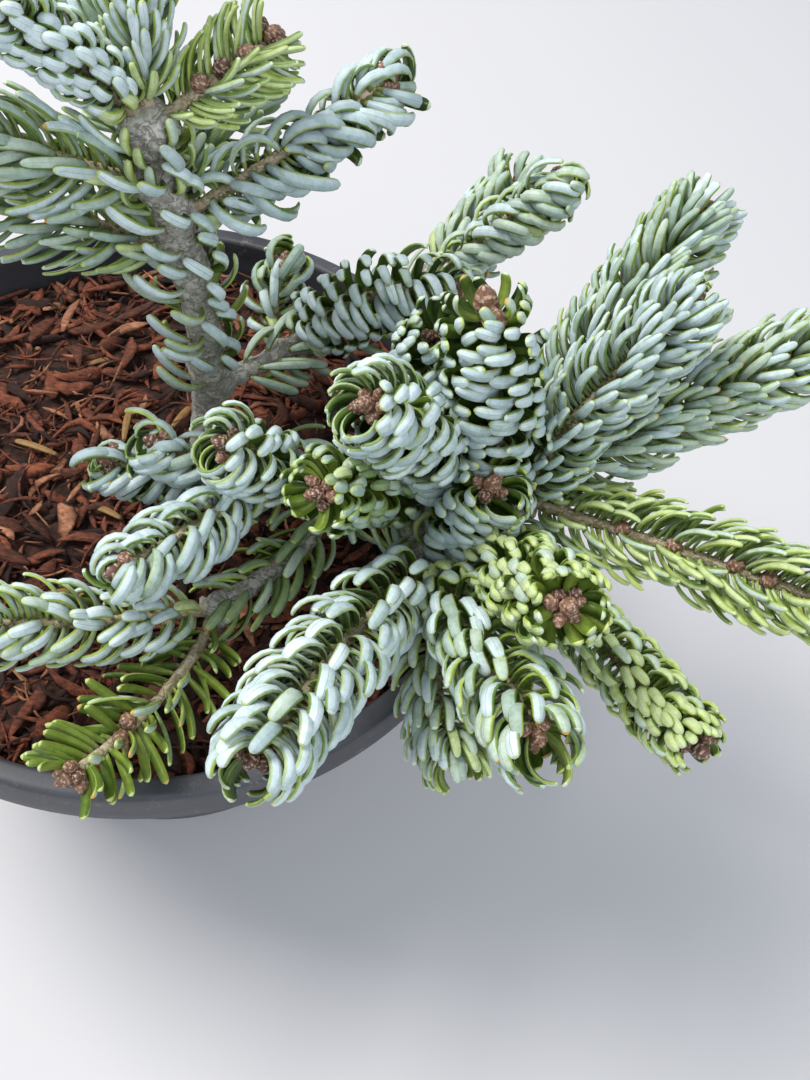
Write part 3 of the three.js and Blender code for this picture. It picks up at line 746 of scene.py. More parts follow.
LEAF_NAMES = list(LEAF_COLORS)
LEAF_FINISHES = [leaf_finish(name, *values) for name, values in LEAF_COLORS.items()]
KINDS = ("wax", "rib", "edge", "upper", "tip", "foot")
RECIPES = {
    "frost": "white pale pale blue, pale pale grey, pale pale green, deep green, pale pale lime, lime",
    "steel": "pale pale blue blue, pale grey, pale pale green, deep green, pale pale lime, lime",
    "sage": "pale sage sage grey, pale grey, pale lime green, green lime, "
            "lime pale lime pale lime pale amber, lime",
    "grey": "pale sage grey grey, grey, lime green, green lime, lime pale lime pale lime pale amber, lime",
    # The white tone, paler than any other, is partly painted light for the top shoot that it is given to.
    "white": "white white pale, pale, pale green, green, pale, lime",
    "mist": "white pale, pale, pale lime, wax_sage wax_green lime, lime pale, lime",
    "silver": "white pale sage, pale grey, lime pale, green lime, lime lime pale, lime",
    "moss": "grey green sage, grey, green lime, green lime deep, lime pale, lime",
    "lime": "sage lime lime lime, grey, lime green, green lime, lime lime pale, lime",
    "green": "green sage, grey, lime green, green lime lime, lime lime lime lime amber, lime",
    "dead": "dead_tan, dead_brown, dead_tan, dead_brown dead_tan, dead_brown, dead_brown",
}
TIP_TONE = {"frost": "sage", "steel": "sage", "grey": "silver"}


def read_recipe(recipe):
    """For each of the six parts the numbers of its finishes; a word without a kind takes the part's."""
    return [
        np.array([LEAF_NAMES.index(word if "_" in word else f"{kind}_{word}") for word in words.split()])
        for kind, words in zip(KINDS, recipe.split(", "))
    ]


TONES = {tone: read_recipe(recipe) for tone, recipe in RECIPES.items()}
print("leaf finishes:", len(LEAF_FINISHES), "tones:", *TONES)


def add_blades(name, places, tones, random):
    """One piece of many needles. For each needle and each of its six parts a finish is drawn from the
    needle's tone, and every face takes the finish of its part."""
    dealt = np.zeros((len(tones), len(KINDS)), int)
    for tone in np.unique(tones):
        rows = np.flatnonzero(tones == tone)
        for part, numbers in enumerate(TONES[tone]):
            dealt[rows, part] = numbers[random.integers(0, len(numbers), len(rows))]
    looks = np.concatenate([dealt[:, parts].ravel() for parts in (SIDE_PARTS, CAP_PARTS)])
    return add_piece(name, places, LEAF_FINISHES, looks)


# %% [markdown]
# Needles stand on the twig in a golden-angle spiral, one to five in a millimetre, which is what lays
# them in the neat slanting rows of the real shoot. Scattered points would give bald spots and clumps
# instead. Needles are shorter at the foot and the tip of the shoot, and stand closer and lean further
# forward round the buds. A needle that would cross another twig or a limb, or reach the pot or the
# mulch, is left out, by a distance test on whole arrays.

# %% Where needles grow
NEEDLE_THICKNESS = 1.45
TWIG_RADIUS = (1.6, 1.0)
BARE_FOOT = 1.0
BARE_TIP = 0.3
FOOT_TONE_REACH = 2.5
FOOT_LOSS = 0.26
FOOT_REACH = 5
TIP_CROWDING = 1.25
TIP_REACH = 4
TIP_LEAN = 16
ROSETTE_LEAN = 12
ROSETTE_LOSS = 0.12
ROSETTE_UNCURL = 0.3
CURL_LIMITS = (0.3, 2)
ROOT_SHARE = 0.7
TIP_TONE_SHARE = 0.4
SHORTEST = 0.9
LONGEST = 1.06
WIDTH_SPREAD = (0.9, 1.08)
THICKNESS_SPREAD = (0.9, 1.1)
# How far needles stray: their turn in radians, skew and leave in degrees, curl and wrap as shares.
STRAY = dict(turn=0.16, skew=7, leave=4, curl=0.1, wrap=0.15)
# The same for old needles, with the curl in degrees too.
OLD_STRAY = dict(turn=0.3, leave=8, curl=14, wrap=0.2)
OLD_SHORTEST = 0.85
OLD_POWER = 1.2
OLD_LEAST_CURL = 6
OLD_SINK = 0.3
OLD_WIDTH = (2.0, 0.055)


def blade_sizes(long, shortest, width, count, random):
    """Lengths, widths and thicknesses of needles, each spread a little round what was asked for."""
    return dict(
        length=long * random.uniform(shortest, LONGEST, count),
        width=width * random.uniform(*WIDTH_SPREAD, count),
        thickness=NEEDLE_THICKNESS * random.uniform(*THICKNESS_SPREAD, count),
    )


def shoot_needles(name, random):
    """Roots, directions and sizes of the needles of one shoot, as a dictionary of arrays. The spiral's
    turn from the top is squeezed in between the parting and the reach: part + (reach - part) turn / pi.
    Near the tip, exp(-distance / TIP_REACH) makes needles shorter and lays them forward."""
    plan = SHOOTS[name]
    line = SHOOT_LINES[name]
    length = length_of(line)
    parent = LIMBS[plan["on"]]
    bare = BARE_FOOT + (parent["knuckle"] if plan["at"] == 1 else parent["radius"][1])
    count = int((length - bare) * plan["density"])
    crowded = 1 - (1 - (np.arange(count) + 0.5) / count) ** TIP_CROWDING
    reached = bare + crowded * (length - bare - BARE_TIP)
    share = reached / length
    direction = unit(at_share(line_frames(line)[0], share))
    level = unit(np.cross(plan["above"], direction))
    above = np.cross(direction, level)
    loose = plan["loose"]
    turn = np.arange(count) * GOLDEN_ANGLE + random.normal(0, STRAY["turn"] * loose, count)
    from_top = (turn + np.pi) % (2 * np.pi) - np.pi
    part, reach = np.radians(plan["part"]), np.radians(plan["reach"])
    round_twig = np.sign(from_top) * (part + (reach - part) * np.abs(from_top) / np.pi)
    outward = swing(above, level, round_twig)
    skew = np.radians(random.normal(0, STRAY["skew"] * loose, count))
    at_tip = np.exp(-(length - reached) / TIP_REACH)
    opened = at_tip * plan["rosette"]
    at_foot = np.exp(-(reached - bare) / FOOT_REACH)
    size = 1 - FOOT_LOSS * at_foot - plan["tip_loss"] * at_tip - ROSETTE_LOSS * opened
    leave = plan["leave"] - TIP_LEAN * at_tip + ROSETTE_LEAN * opened
    leave = leave + random.normal(0, STRAY["leave"] * loose, count)
    curl = np.radians(plan["curl"]) * (1 - ROSETTE_UNCURL * opened)
    return dict(
        owner=np.full(count, name),
        root=at_share(line, share) + outward * (between(TWIG_RADIUS, share) * ROOT_SHARE)[:, None],
        along=swing(direction, np.cross(direction, outward), skew), outward=outward, above=above,
        leave=np.radians(leave),
        curl=curl * (1 + random.normal(0, STRAY["curl"] * loose, count)).clip(*CURL_LIMITS),
        power=np.full(count, plan["power"]),
        wrap=plan["wrap"] * (1 - opened) + random.normal(0, STRAY["wrap"] * loose, count),
        **blade_sizes(plan["long"] * size, SHORTEST, plan["width"], count, random),
        tone=np.where(
            reached - bare < FOOT_TONE_REACH, "lime",
            np.where(random.random(count) < TIP_TONE_SHARE * at_tip,
                     TIP_TONE.get(plan["tone"], "lime"), plan["tone"]),
        ),
    )


def stem_needles(random, limb, start, end, per_mm, tone, side=(0, 0, 0), spread=1.0, wrap=0.0, long=16,
                 leave=60, curl=62, above=UPWARD):
    """Sparse old needles on a limb between two shares of it. They stand out at spread times the
    spiral's direction + the side that is asked for, made square to the limb. Longer ones are wider."""
    line = LINES[limb]
    count = int(length_of(line) * (end - start) * per_mm)
    share = start + (np.arange(count) + random.random(count)) / count * (end - start)
    along, across, other = (at_share(vectors, share) for vectors in line_frames(line))
    along = unit(along)
    turn = np.arange(count) * GOLDEN_ANGLE + random.normal(0, OLD_STRAY["turn"], count)
    outward = unit(unit(swing(across, other, turn)) * spread + np.array(side, float))
    outward = unit(outward - along * (outward * along).sum(-1, keepdims=True))
    return dict(
        owner=np.full(count, limb),
        root=at_share(line, share) + outward * (between(LIMBS[limb]["radius"], share) - OLD_SINK)[:, None],
        along=along, outward=outward, above=np.broadcast_to(unit(np.array(above, float)), outward.shape),
        leave=np.radians(leave + random.normal(0, OLD_STRAY["leave"], count)),
        curl=np.radians(np.maximum(curl + random.normal(0, OLD_STRAY["curl"], count), OLD_LEAST_CURL)),
        power=np.full(count, OLD_POWER),
        wrap=wrap + random.normal(0, OLD_STRAY["wrap"], count),
        **blade_sizes(long, OLD_SHORTEST, OLD_WIDTH[0] + OLD_WIDTH[1] * long, count, random),
        tone=np.full(count, tone),
    )


PLANNED = [len(shoot_needles(name, np.random.default_rng(0))["root"]) for name in SHOOTS]
print("needles on a shoot: from", min(PLANNED), "to", max(PLANNED))

# %% [markdown]
# Needles that run through a neighbour's twig would give the model away. Blender could find them by
# ray casting, one at a time. Comparing distances does it for all at once: the test needs the middle
# lines of all limbs and twigs, and the zone over the rim. A needle may touch its own twig.

# %% Needles left out
LIMB_CLEARANCE = 4.0
TWIG_CLEARANCE = 1.9
RIM_ZONE = (86, 98)
OVER_RIM = POT_HEIGHT + 0.6
OVER_MULCH = GROUND + 5
FREE_STATIONS = 2
LIMB_CHECKS = np.linspace(0, 1, 40)
TWIG_CHECKS = np.linspace(0.1, 1, 24)
OBSTACLES = [(limb, at_share(line, LIMB_CHECKS), LIMB_CLEARANCE) for limb, line in LINES.items()]
OBSTACLES += [(name, at_share(line, TWIG_CHECKS), TWIG_CLEARANCE) for name, line in SHOOT_LINES.items()]
print("lines to keep clear of:", len(OBSTACLES))


def from_axis(places, foot=(0, 0)):
    """How far each place is from an upright line over this foot."""
    return np.hypot(*np.moveaxis(places[..., :2] - np.array(foot), -1, 0))


def is_clear(owners, places):
    """True where no other twig or limb lies within its clearance of the needle's middle line, past the
    first stations, and where the needle stays over the mulch and the rim."""
    middle = places[:, FREE_STATIONS:].mean(axis=2)
    clear = np.ones(len(middle), bool)
    for owner, points, clearance in OBSTACLES:
        gap = np.linalg.norm(middle[:, :, None] - points[None, None], axis=-1).min(axis=(1, 2))
        clear &= (gap > clearance) | (owners == owner)
    low = places[..., 2].min(axis=(1, 2))
    reach = from_axis(places)
    near_rim = (reach > RIM_ZONE[0]).any(axis=(1, 2)) & (reach < RIM_ZONE[1]).any(axis=(1, 2))
    return clear & (low > np.where(near_rim, OVER_RIM, OVER_MULCH))


def add_needles(name, parts, nodes, random):
    """One piece of the needles of several shoots or limbs, less those that would cross something."""
    needles = {key: np.concatenate([part[key] for part in parts]) for key in parts[0]}
    owners = needles.pop("owner")
    tones = needles.pop("tone")
    places = needle_places(**needles)
    keep = is_clear(owners, places)
    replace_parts(add_blades(name, places[keep], tones[keep], random), *nodes)
    print(f"{name}: {keep.sum()} needles, {(~keep).sum()} left out")


# %% [markdown]
# The foliage is one piece for each side of the plant, and one for the old needles on bare bark. It
# could be a piece for each shoot, but a few groups are easier to handle, and each still names the
# shoots of the model that it replaces. The old needles on the trunk lean to the viewer's side and
# wrap down it, as in the picture, and the thin boughs keep a few green ones.

# %% Foliage
FOLIAGE_SEED = 100
OLD_SEED = 140
GROUPS = ("right", "middle", "front", "left", "back", "top")
NOT_IN_MODEL = "left_spur"
TRUNK_NODES = ("trunk_needles_left", "trunk_needles_right", "trunk_needles_back")
DOWN_TRUNK = dict(spread=0.3, wrap=4, long=17, above=(0.9, 0.1, -0.5))
OLD_NEEDLES = [
    ("trunk", 0.28, 0.97, 0.15, "silver", dict(side=(0.2, -0.95, 0), leave=70, curl=100, **DOWN_TRUNK)),
    ("trunk", 0.3, 0.97, 0.1, "silver", dict(side=(-0.6, -0.7, 0), leave=62, curl=66, **DOWN_TRUNK)),
    ("trunk", 0.34, 0.97, 0.2, "frost",
     dict(side=(0.95, -0.2, 0), spread=0.35, wrap=0.7, long=15.5, leave=86, curl=165, above=(0, 1, 0))),
    ("trunk", 0.3, 0.9, 0.09, "green", dict(side=(-0.9, 0.2, 0), spread=0.5, long=14, curl=46)),
    ("trunk", 0.3, 0.95, 0.25, "moss", dict(side=(0.4, 0.9, 0), spread=0.8, long=14)),
    ("trunk", 0.84, 1.0, 1.3, "lime", dict(wrap=-0.4, long=11, leave=78, curl=120)),
    ("side_stem", 0.3, 0.95, 1.0, "moss", dict(wrap=0.8, long=15)),
    ("low_left_bough", 0.2, 0.95, 1.1, "green", dict(wrap=0.5, long=14)),
    ("near_bough", 0.3, 0.9, 0.9, "moss", dict(wrap=0.8, long=15)),
    ("front_bough", 0.2, 0.9, 0.9, "moss", dict(wrap=0.8, long=14)),
    ("back_bough", 0.3, 0.9, 0.8, "moss", dict(wrap=0.8, long=15)),
    ("far_bough", 0.2, 0.9, 0.7, "sage", dict(wrap=0.8)),
]


def add_foliage():
    """The needles of each group of shoots, and then the old ones, each piece from its own seed."""
    for number, group in enumerate(GROUPS):
        random = np.random.default_rng(FOLIAGE_SEED + number)
        names = [name for name in SHOOTS if name.split("_")[0] == group]
        parts = [shoot_needles(name, random) for name in names]
        nodes = [name for name in names if name != NOT_IN_MODEL]
        add_needles(f"needles_{group}", parts, nodes, random)
    random = np.random.default_rng(OLD_SEED)
    parts = [stem_needles(random, *row, **own) for *row, own in OLD_NEEDLES]
    add_needles("needles_on_bark", parts, TRUNK_NODES, random)


add_foliage()

# %% [markdown]
# The twigs themselves are slim, beige to light brown, and rough with the cushions that the needles
# stand on. A Skin modifier could make them, but the needles' roots have to lie on them exactly, so
# they are one piece of tubes round the same lines: ten sides, and the same number of rings for each.

# %% Twigs
TWIG_RINGS = 44
TWIG_SIDES = 10
CUSHION_HEIGHT = 0.4
CUSHION_SIZE = 1.5
TWIG_SEED = 300


def add_twigs():
    """All twigs at once: each ring's radius is the taper + a value noise for the cushions."""
    shares = np.linspace(0, 1, TWIG_RINGS)
    radius = between(TWIG_RADIUS, shares)[:, None]
    places = []
    for number, line in enumerate(SHOOT_LINES.values()):
        centre = at_share(line, shares)
        cushions = value_noise(tube(centre, radius, TWIG_SIDES), CUSHION_SIZE, TWIG_SEED + number)
        places.append(tube(centre, radius + CUSHION_HEIGHT * cushions, TWIG_SIDES))
    add_piece("twigs", np.stack(places), [YOUNG_BARK])


add_twigs()

# %% [markdown]
# Each shoot ends in a cluster of winter buds: one in the middle and a few round it, blunt, resinous
# and purple-brown, with overlapping scales whose edges are bleached by dried resin. One shoot carries
# two long buds, and three have small buds along their top. Scales could be modelled one by one; at
# this size a relief is enough. A bud is an egg-shaped grid of radius sin(pi t)^0.7. Five rows of five
# scales lie on it: the radius grows slowly up each scale and drops at its edge, and the edge reaches
# higher in the scale's middle.

# %% Buds
BUD_SEED = 7
BUD_RINGS = 17
BUD_SIDES = 14
SCALE_ROWS = 5
SCALES_ROUND = 5
SCALE_HEIGHT = 0.2
RESIN_EDGE = 0.72
RESIN_SHARE = 0.75
BROWN, DARK, RESIN = range(3)
DARK_SHARE = 0.35
EDGE_ARCH = 0.4
BLUNTNESS = 0.7
EGG_START = 0.04
EGG_SPAN = 0.94
CLUSTER_COUNTS = (3, 5)
MIDDLE_BUD = dict(long=(5.0, 6.2), radius=(1.8, 2.2))
MIDDLE_SINK = 0.6
OUTER_BUD = dict(long=(3.8, 5.2), radius=(1.4, 1.9))
OUTER_SINK = 1.2
OUTER_ASIDE = 1.1
OUTER_LEAN = (0.6, 1.1)
SIDE_BUD = dict(long=(4.2, 5.2), radius=(1.9, 2.3))
SIDE_FORWARD = 0.7
SIDE_STRAY = 0.4
SIDE_LIFT = 0.6
BUD_COLORS = {
    "bud_brown": ((148, 108, 84), (96, 62, 48), 0.5),
    "bud_dark": ((112, 76, 62), (70, 44, 38), 0.45),
    "bud_resin": ((192, 168, 148), (140, 108, 90), 0.4),
}
LONE_BUDS = {"middle_shoot_1": ((8.6, 2.9), (7.4, 2.7))}
LONE_LEAN = np.array([0.5, -0.85, -0.1])
LONE_SPACING = 2.4
FULL_CLUSTERS = {"middle_shoot_3": 5, "middle_shoot_5": 6, "top_shoot_3": 6, "left_shoot_5": 6,
                 "middle_shoot_2": 5}
SIDE_BUDS = {"right_shoot_4": (0.32, 0.48, 0.66, 0.76), "left_shoot_5": (0.66, 0.74),
             "top_shoot_3": (0.4, 0.56, 0.74)}


def bud_finish(name, color, shade, roughness):
    """A base colour mottled with a darker shade, and a fine grain."""
    color, shade = srgb(*color), srgb(*shade)
    material, tree = new_finish(name, color, roughness)
    fine = texture(tree, 1500, Detail=4, Roughness=0.7)
    feed(tree, mix(tree, ramp(tree, fine, (0.4, 0), (0.64, 1)), color, shade))
    bump(tree, fine, 0.6, 0.0002)
    return material


BUD_FINISHES = [bud_finish(name, *values) for name, values in BUD_COLORS.items()]


def bud_places(foot, heading, length, radius, random):
    """Egg shapes with scales: buds by rings by sides by three, and how far up its scale each point is."""
    t = np.linspace(0, 1, BUD_RINGS)[None, :, None]
    angle = round_angles(BUD_SIDES)[None, None]
    shift = random.uniform(0, 1, (len(foot), 1, 1))
    row = np.floor(t * SCALE_ROWS)
    sideways = np.abs((angle / (2 * np.pi) * SCALES_ROUND + shift + 0.5 * (row % 2)) % 1 - 0.5) * 2
    step = (t * SCALE_ROWS + EDGE_ARCH * sideways) % 1
    profile = np.maximum(np.sin(np.pi * (EGG_START + EGG_SPAN * t)), 0) ** BLUNTNESS
    size = radius[:, None, None] * profile * (1 - SCALE_HEIGHT + SCALE_HEIGHT * step)
    spare = np.where(np.abs(heading[:, 2:]) < 0.8, np.array([[0, 0, 1.0]]), np.array([[1.0, 0, 0]]))
    across = unit(np.cross(heading, spare))
    ring = swing(across[:, None, None], np.cross(across, heading)[:, None, None], angle)
    centre = foot[:, None] + heading[:, None] * (t[..., 0] * length[:, None])[..., None]
    return centre[:, :, None] + ring * size[..., None], np.broadcast_to(step, size.shape)


def tip_cluster(name, random):
    """Feet, headings, lengths and radii of the buds at the tip of one shoot: a large one straight on,
    and smaller ones that lean out round it."""
    line = SHOOT_LINES[name]
    along, across, other = (vectors[-1] for vectors in line_frames(line))
    if name in LONE_BUDS:
        feet = np.stack([line[-1] - along, line[-1] - along + LONE_SPACING * LONE_LEAN])
        return feet, unit(np.stack([along, along + 0.5 * LONE_LEAN])), *np.array(LONE_BUDS[name]).T
    count = FULL_CLUSTERS.get(name, int(random.integers(*CLUSTER_COUNTS)))
    turn = (np.arange(count) + random.uniform(0, 0.5, count)) / count * 2 * np.pi
    aside = swing(across, other, turn)
    lean = random.uniform(*OUTER_LEAN, count)[:, None]
    headings = np.concatenate([along[None], unit(along + aside * lean)])
    outer_feet = line[-1] - along * OUTER_SINK + aside * OUTER_ASIDE
    feet = np.concatenate([line[-1][None] - along * MIDDLE_SINK, outer_feet])
    long, radius = (
        np.concatenate([[random.uniform(*MIDDLE_BUD[size])], random.uniform(*OUTER_BUD[size], count)])
        for size in ("long", "radius")
    )
    return feet, headings, long, radius


def side_cluster(name, shares, random):
    """The small buds that sit along the top of one shoot."""
    line = SHOOT_LINES[name]
    count = len(shares)
    along = unit(at_share(line_frames(line)[0], np.array(shares)))
    above = np.array(SHOOTS[name]["above"])
    aside = unit(np.cross(along, above)) * random.normal(0, SIDE_STRAY, count)[:, None]
    headings = unit(along * SIDE_FORWARD + above + aside)
    feet = at_share(line, np.array(shares)) + headings * SIDE_LIFT
    return feet, headings, *(random.uniform(*SIDE_BUD[size], count) for size in ("long", "radius"))


def add_buds():
    """All buds as one piece. A face is resin where it lies high up its scale, else its bud's brown."""
    random = np.random.default_rng(BUD_SEED)
    clusters = [tip_cluster(name, random) for name in SHOOTS]
    clusters += [side_cluster(name, shares, random) for name, shares in SIDE_BUDS.items()]
    feet, headings, long, radius = (np.concatenate(rows) for rows in zip(*clusters))
    places, step = bud_places(feet, headings, long, radius, random)
    count = len(feet)
    ring_step = step[:, :-1]
    resin = (ring_step > RESIN_EDGE) & (random.random(ring_step.shape) < RESIN_SHARE)
    looks = np.where(resin, RESIN, np.where(random.random((count, 1, 1)) < DARK_SHARE, DARK, BROWN))
    looks = np.concatenate([looks.ravel(), np.full(2 * count, DARK)])
    add_piece("winter_buds", places, BUD_FINISHES, looks)
    print("buds:", count)


add_buds()

# %% [markdown]
# The pot is thin plastic, once black and now charcoal with dust: a tapered wall, a turned-down rim band
# that is open underneath, and drain holes in the floor. A cylinder could be extruded and bevelled;
# turning one profile of radius against height about the axis gives the same with every size in sight.
# It has the model's sizes, with rounder edges and a thin, hollow band.

# %% Pot
POT_RIM_RADIUS = 95
POT_BASE_RADIUS = 61
POT_WALL = 1.6
POT_FLOOR = 2
BAND_HEIGHT = 13
BAND_STEP = 4
BAND_WALL = 1.5
POT_SIDES = 192
DRAIN_HOLES = 6
DRAIN_HOLE_RADIUS = 6
DRAIN_RING_RADIUS = 46
DRAIN_SIDES = 32
DRILL_OVERSHOOT = 4.0
AXIS_GAP = 0.01
HALF_WAY = 30
BASE_ROUND = 1.5
LIP_ROUND = 0.7
RIM_ROUND = 1.6
INNER_ROUND = 1.4
FLOOR_ROUND = 2


def corner(center, radius, start, end, count=5):
    """Points of a rounded edge: an arc about a centre, between two angles in degrees."""
    angle = np.radians(np.linspace(start, end, count))
    return [(center[0] + radius * c, center[1] + radius * s) for c, s in zip(np.cos(angle), np.sin(angle))]


def wall(radius, low, high, count):
    """Points on the slant of the wall, whose radius at the ground is this one."""
    band = POT_HEIGHT - BAND_HEIGHT
    slant = POT_RIM_RADIUS - BAND_STEP - POT_BASE_RADIUS
    return [(radius + slant * z / band, z) for z in np.linspace(low, high, count)]


def pot_profile():
    """Radius and height, from the axis along the underside, up the outside and down the inside."""
    band = POT_HEIGHT - BAND_HEIGHT
    shoulder = POT_RIM_RADIUS - BAND_STEP
    inner = shoulder - POT_WALL
    return (
        [(AXIS_GAP, 0), (HALF_WAY, 0), (POT_BASE_RADIUS - 8, 0)]
        + corner((POT_BASE_RADIUS - BASE_ROUND, BASE_ROUND), BASE_ROUND, -90, -10)
        + wall(POT_BASE_RADIUS, 8, band + 6, 12)
        + [(shoulder + 0.4, POT_HEIGHT - BAND_WALL), (POT_RIM_RADIUS - BAND_WALL, POT_HEIGHT - BAND_WALL)]
        + [(POT_RIM_RADIUS - BAND_WALL, band + 0.4)]
        + corner((POT_RIM_RADIUS - BAND_WALL / 2, band + LIP_ROUND), LIP_ROUND, 180, 360, 7)
        + [(POT_RIM_RADIUS, band + 4), (POT_RIM_RADIUS, POT_HEIGHT - 4)]
        + corner((POT_RIM_RADIUS - RIM_ROUND, POT_HEIGHT - RIM_ROUND), RIM_ROUND, 0, 90, 6)
        + corner((inner + INNER_ROUND, POT_HEIGHT - INNER_ROUND), INNER_ROUND, 90, 180, 6)
        + [(inner, POT_HEIGHT - 5), (inner, band + 2)]
        + wall(POT_BASE_RADIUS - POT_WALL, band - 4, 6, 8)
        + corner((POT_BASE_RADIUS - POT_WALL - FLOOR_ROUND, POT_FLOOR + FLOOR_ROUND), FLOOR_ROUND, 0, -90, 4)
        + [(HALF_WAY, POT_FLOOR), (AXIS_GAP, POT_FLOOR)]
    )


def turned(profile, sides):
    """A profile of radius and height turned about the axis, as rings of places."""
    radius, height = np.array(profile).T[..., None]
    x, y = polar(radius, round_angles(sides))
    return np.stack([x, y, np.broadcast_to(height, x.shape)], axis=-1)


print("points on the pot's profile:", len(pot_profile()))

# %% [markdown]
# Old nursery plastic is never one black. A plain dark shader would look like new, so broad noise moves
# it between a darker and a lighter charcoal, dust gathers as pale specks and thin smears, fine
# scratches run mostly round the wall, and the gloss goes up and down with the broad noise. A faint
# orange-peel bump keeps the highlight soft.

# %% Finish: pot plastic
def plastic_finish():
    """Broad charcoal noise, then dust specks and scratches laid over it as paler greys."""
    material, tree = new_finish("pot_plastic", srgb(58, 59, 64), 0.5)
    broad = texture(tree, 26, Detail=5, Roughness=0.6)
    fine = texture(tree, 900, Detail=3)
    dust = texture(tree, 260, Detail=6, Roughness=0.8)
    scratch = texture(tree, 55, stretch=(1, 1, 22), Detail=5, Roughness=0.75)
    base = ramp(tree, broad, (0.3, srgb(44, 45, 50)), (0.7, srgb(74, 75, 82)))
    dusty = mix(tree, ramp(tree, dust, (0.58, 0), (0.75, 0.7)), base, srgb(150, 140, 128))
    feed(tree, mix(tree, ramp(tree, scratch, (0.6, 0), (0.72, 0.4)), dusty, srgb(112, 112, 118)))
    feed(tree, ramp(tree, broad, (0.3, 0.42), (0.75, 0.62)), "Roughness")
    bump(tree, fine, 0.25, 0.0002)
    return material


PLASTIC = plastic_finish()
print("pot finish:", PLASTIC.name)

# %% [markdown]
# Water leaves a nursery pot through round holes in its floor. Faces of the turned floor could be left
# out, but that would make square holes with open edges. So upright tubes are taken away from the
# shell by a Boolean modifier, whose result is then kept as the piece's own mesh.

# %% Shell and drain holes
def drill_holes(piece):
    """Takes upright tubes on a ring away from the shell's floor."""
    places = []
    for turn in round_angles(DRAIN_HOLES):
        centre = polar(DRAIN_RING_RADIUS, turn)
        ends = np.array([[*centre, -DRILL_OVERSHOOT], [*centre, POT_FLOOR + DRILL_OVERSHOOT]])
        places.append(tube(ends, DRAIN_HOLE_RADIUS, DRAIN_SIDES))
    places = np.stack(places)
    mesh = bpy.data.meshes.new("drill")
    faces = [row for rows in tube_faces(places) for row in rows.tolist()]
    mesh.from_pydata((places.reshape(-1, 3) * MM).tolist(), [], faces)
    drill = new_object("drill", mesh)
    cut = piece.modifiers.new("drain holes", "BOOLEAN")
    cut.operation = "DIFFERENCE"
    cut.solver = "EXACT"
    cut.object = drill
    bpy.context.view_layer.update()
    done = bpy.data.meshes.new_from_object(piece.evaluated_get(bpy.context.evaluated_depsgraph_get()))
    piece.modifiers.clear()
    piece.data = done
    bpy.data.objects.remove(drill)
    print("pot faces after drilling:", len(done.polygons))


def add_pot():
    """The turned shell with its holes, in place of the model's pot."""
    piece = add_piece("pot_shell", turned(pot_profile(), POT_SIDES), [PLASTIC])
    drill_holes(piece)
    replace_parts(piece, "pot")


add_pot()

# %% [markdown]
# The pot is topped with shredded bark: red-brown strips, splinters and crumbs that lie over each other
# on dark compost. A rough ground with a bark image would look painted, because the gaps between the
# chips have depth. So each chip is real: a short bent strip whose section narrows and frays to ragged
# ends. Chips are drawn from a few sizes, laid nearly flat at random, and kept inside the wall.

# %% Mulch
MULCH_SEED = 50
CHIP_STATIONS = 5
CHIP_SIDES = 6
CHIP_SIZES = ("length", "width", "thick", "lift")
CHIP_TILT = 0.16
CHIP_ROLL = 0.5
CHIP_BEND = 0.16
CHIP_TAPER = 0.75
CHIP_FRAY = (0.62, 0.55)
FLAT_REACH = 40
WALL_DROP = 3
GROUND_LUMPS = (1.1, 16)
GROUND_SEED = 61
WALL_RADIUS = 88.6
WALL_GAP = 0.5
TRUNK_FOOT = (8, 13.5)
TRUNK_CLEARANCE = 6.5
CHIP_KINDS = [
    dict(count=540, length=(8, 17), width=(2.4, 6.0), thick=(0.9, 2.2), lift=(1.0, 4.8)),
    dict(count=900, length=(5, 12), width=(1.2, 3.0), thick=(0.6, 1.4), lift=(0.6, 4.4)),
    dict(count=900, length=(5, 14), width=(0.5, 1.3), thick=(0.4, 0.9), lift=(0.8, 5.2)),
    dict(count=700, length=(1.6, 4), width=(1.0, 2.6), thick=(0.8, 1.8), lift=(0.4, 3.4)),
]
MULCH_SHARES = (0.38, 0.3, 0.2, 0.12)


def mulch_finish(name, light, dark):
    """Torn bark: a noise squeezed along Y shows fibres, and a broad one darkens parts of a chip."""
    material, tree = new_finish(name, light, 0.9)
    fibre = texture(tree, 420, stretch=(1, 2.4, 1), Detail=6, Roughness=0.75)
    blot = texture(tree, 130, Detail=2)
    base = ramp(tree, fibre, (0.34, dark), (0.66, light))
    feed(tree, mix(tree, 1.0, base, ramp(tree, blot, (0.4, 0.55), (0.62, 1)), "MULTIPLY"))
    bump(tree, fibre, 0.8, 0.0006)
    return material


MULCH_FINISHES = [
    mulch_finish("mulch_red", srgb(162, 90, 60), srgb(66, 27, 15)),
    mulch_finish("mulch_brown", srgb(124, 67, 45), srgb(44, 18, 10)),
    mulch_finish("mulch_dark", srgb(66, 36, 26), srgb(22, 10, 6)),
    mulch_finish("mulch_tan", srgb(200, 140, 104), srgb(114, 66, 46)),
]


def level_noise(x, y, kind, seed):
    """One kind of roughness, read on the level at these places."""
    return raised(rough_noise, np.stack([x, y, np.zeros_like(x)], axis=-1), kind, seed)


def ground_height(x, y):
    """The top of the compost: flat round the trunk, a little lower at the wall, and lumpy."""
    slope = WALL_DROP * np.clip((np.hypot(x, y) - FLAT_REACH) / (WALL_RADIUS - FLAT_REACH), 0, 1)
    return GROUND - slope + level_noise(x, y, GROUND_LUMPS, GROUND_SEED)


def tilted(heading, tilt):
    """Directions on the ground that rise by a tilt: cos h cos t, sin h cos t, sin t."""
    return np.stack([*polar(np.cos(tilt), heading), np.sin(tilt)], axis=1)


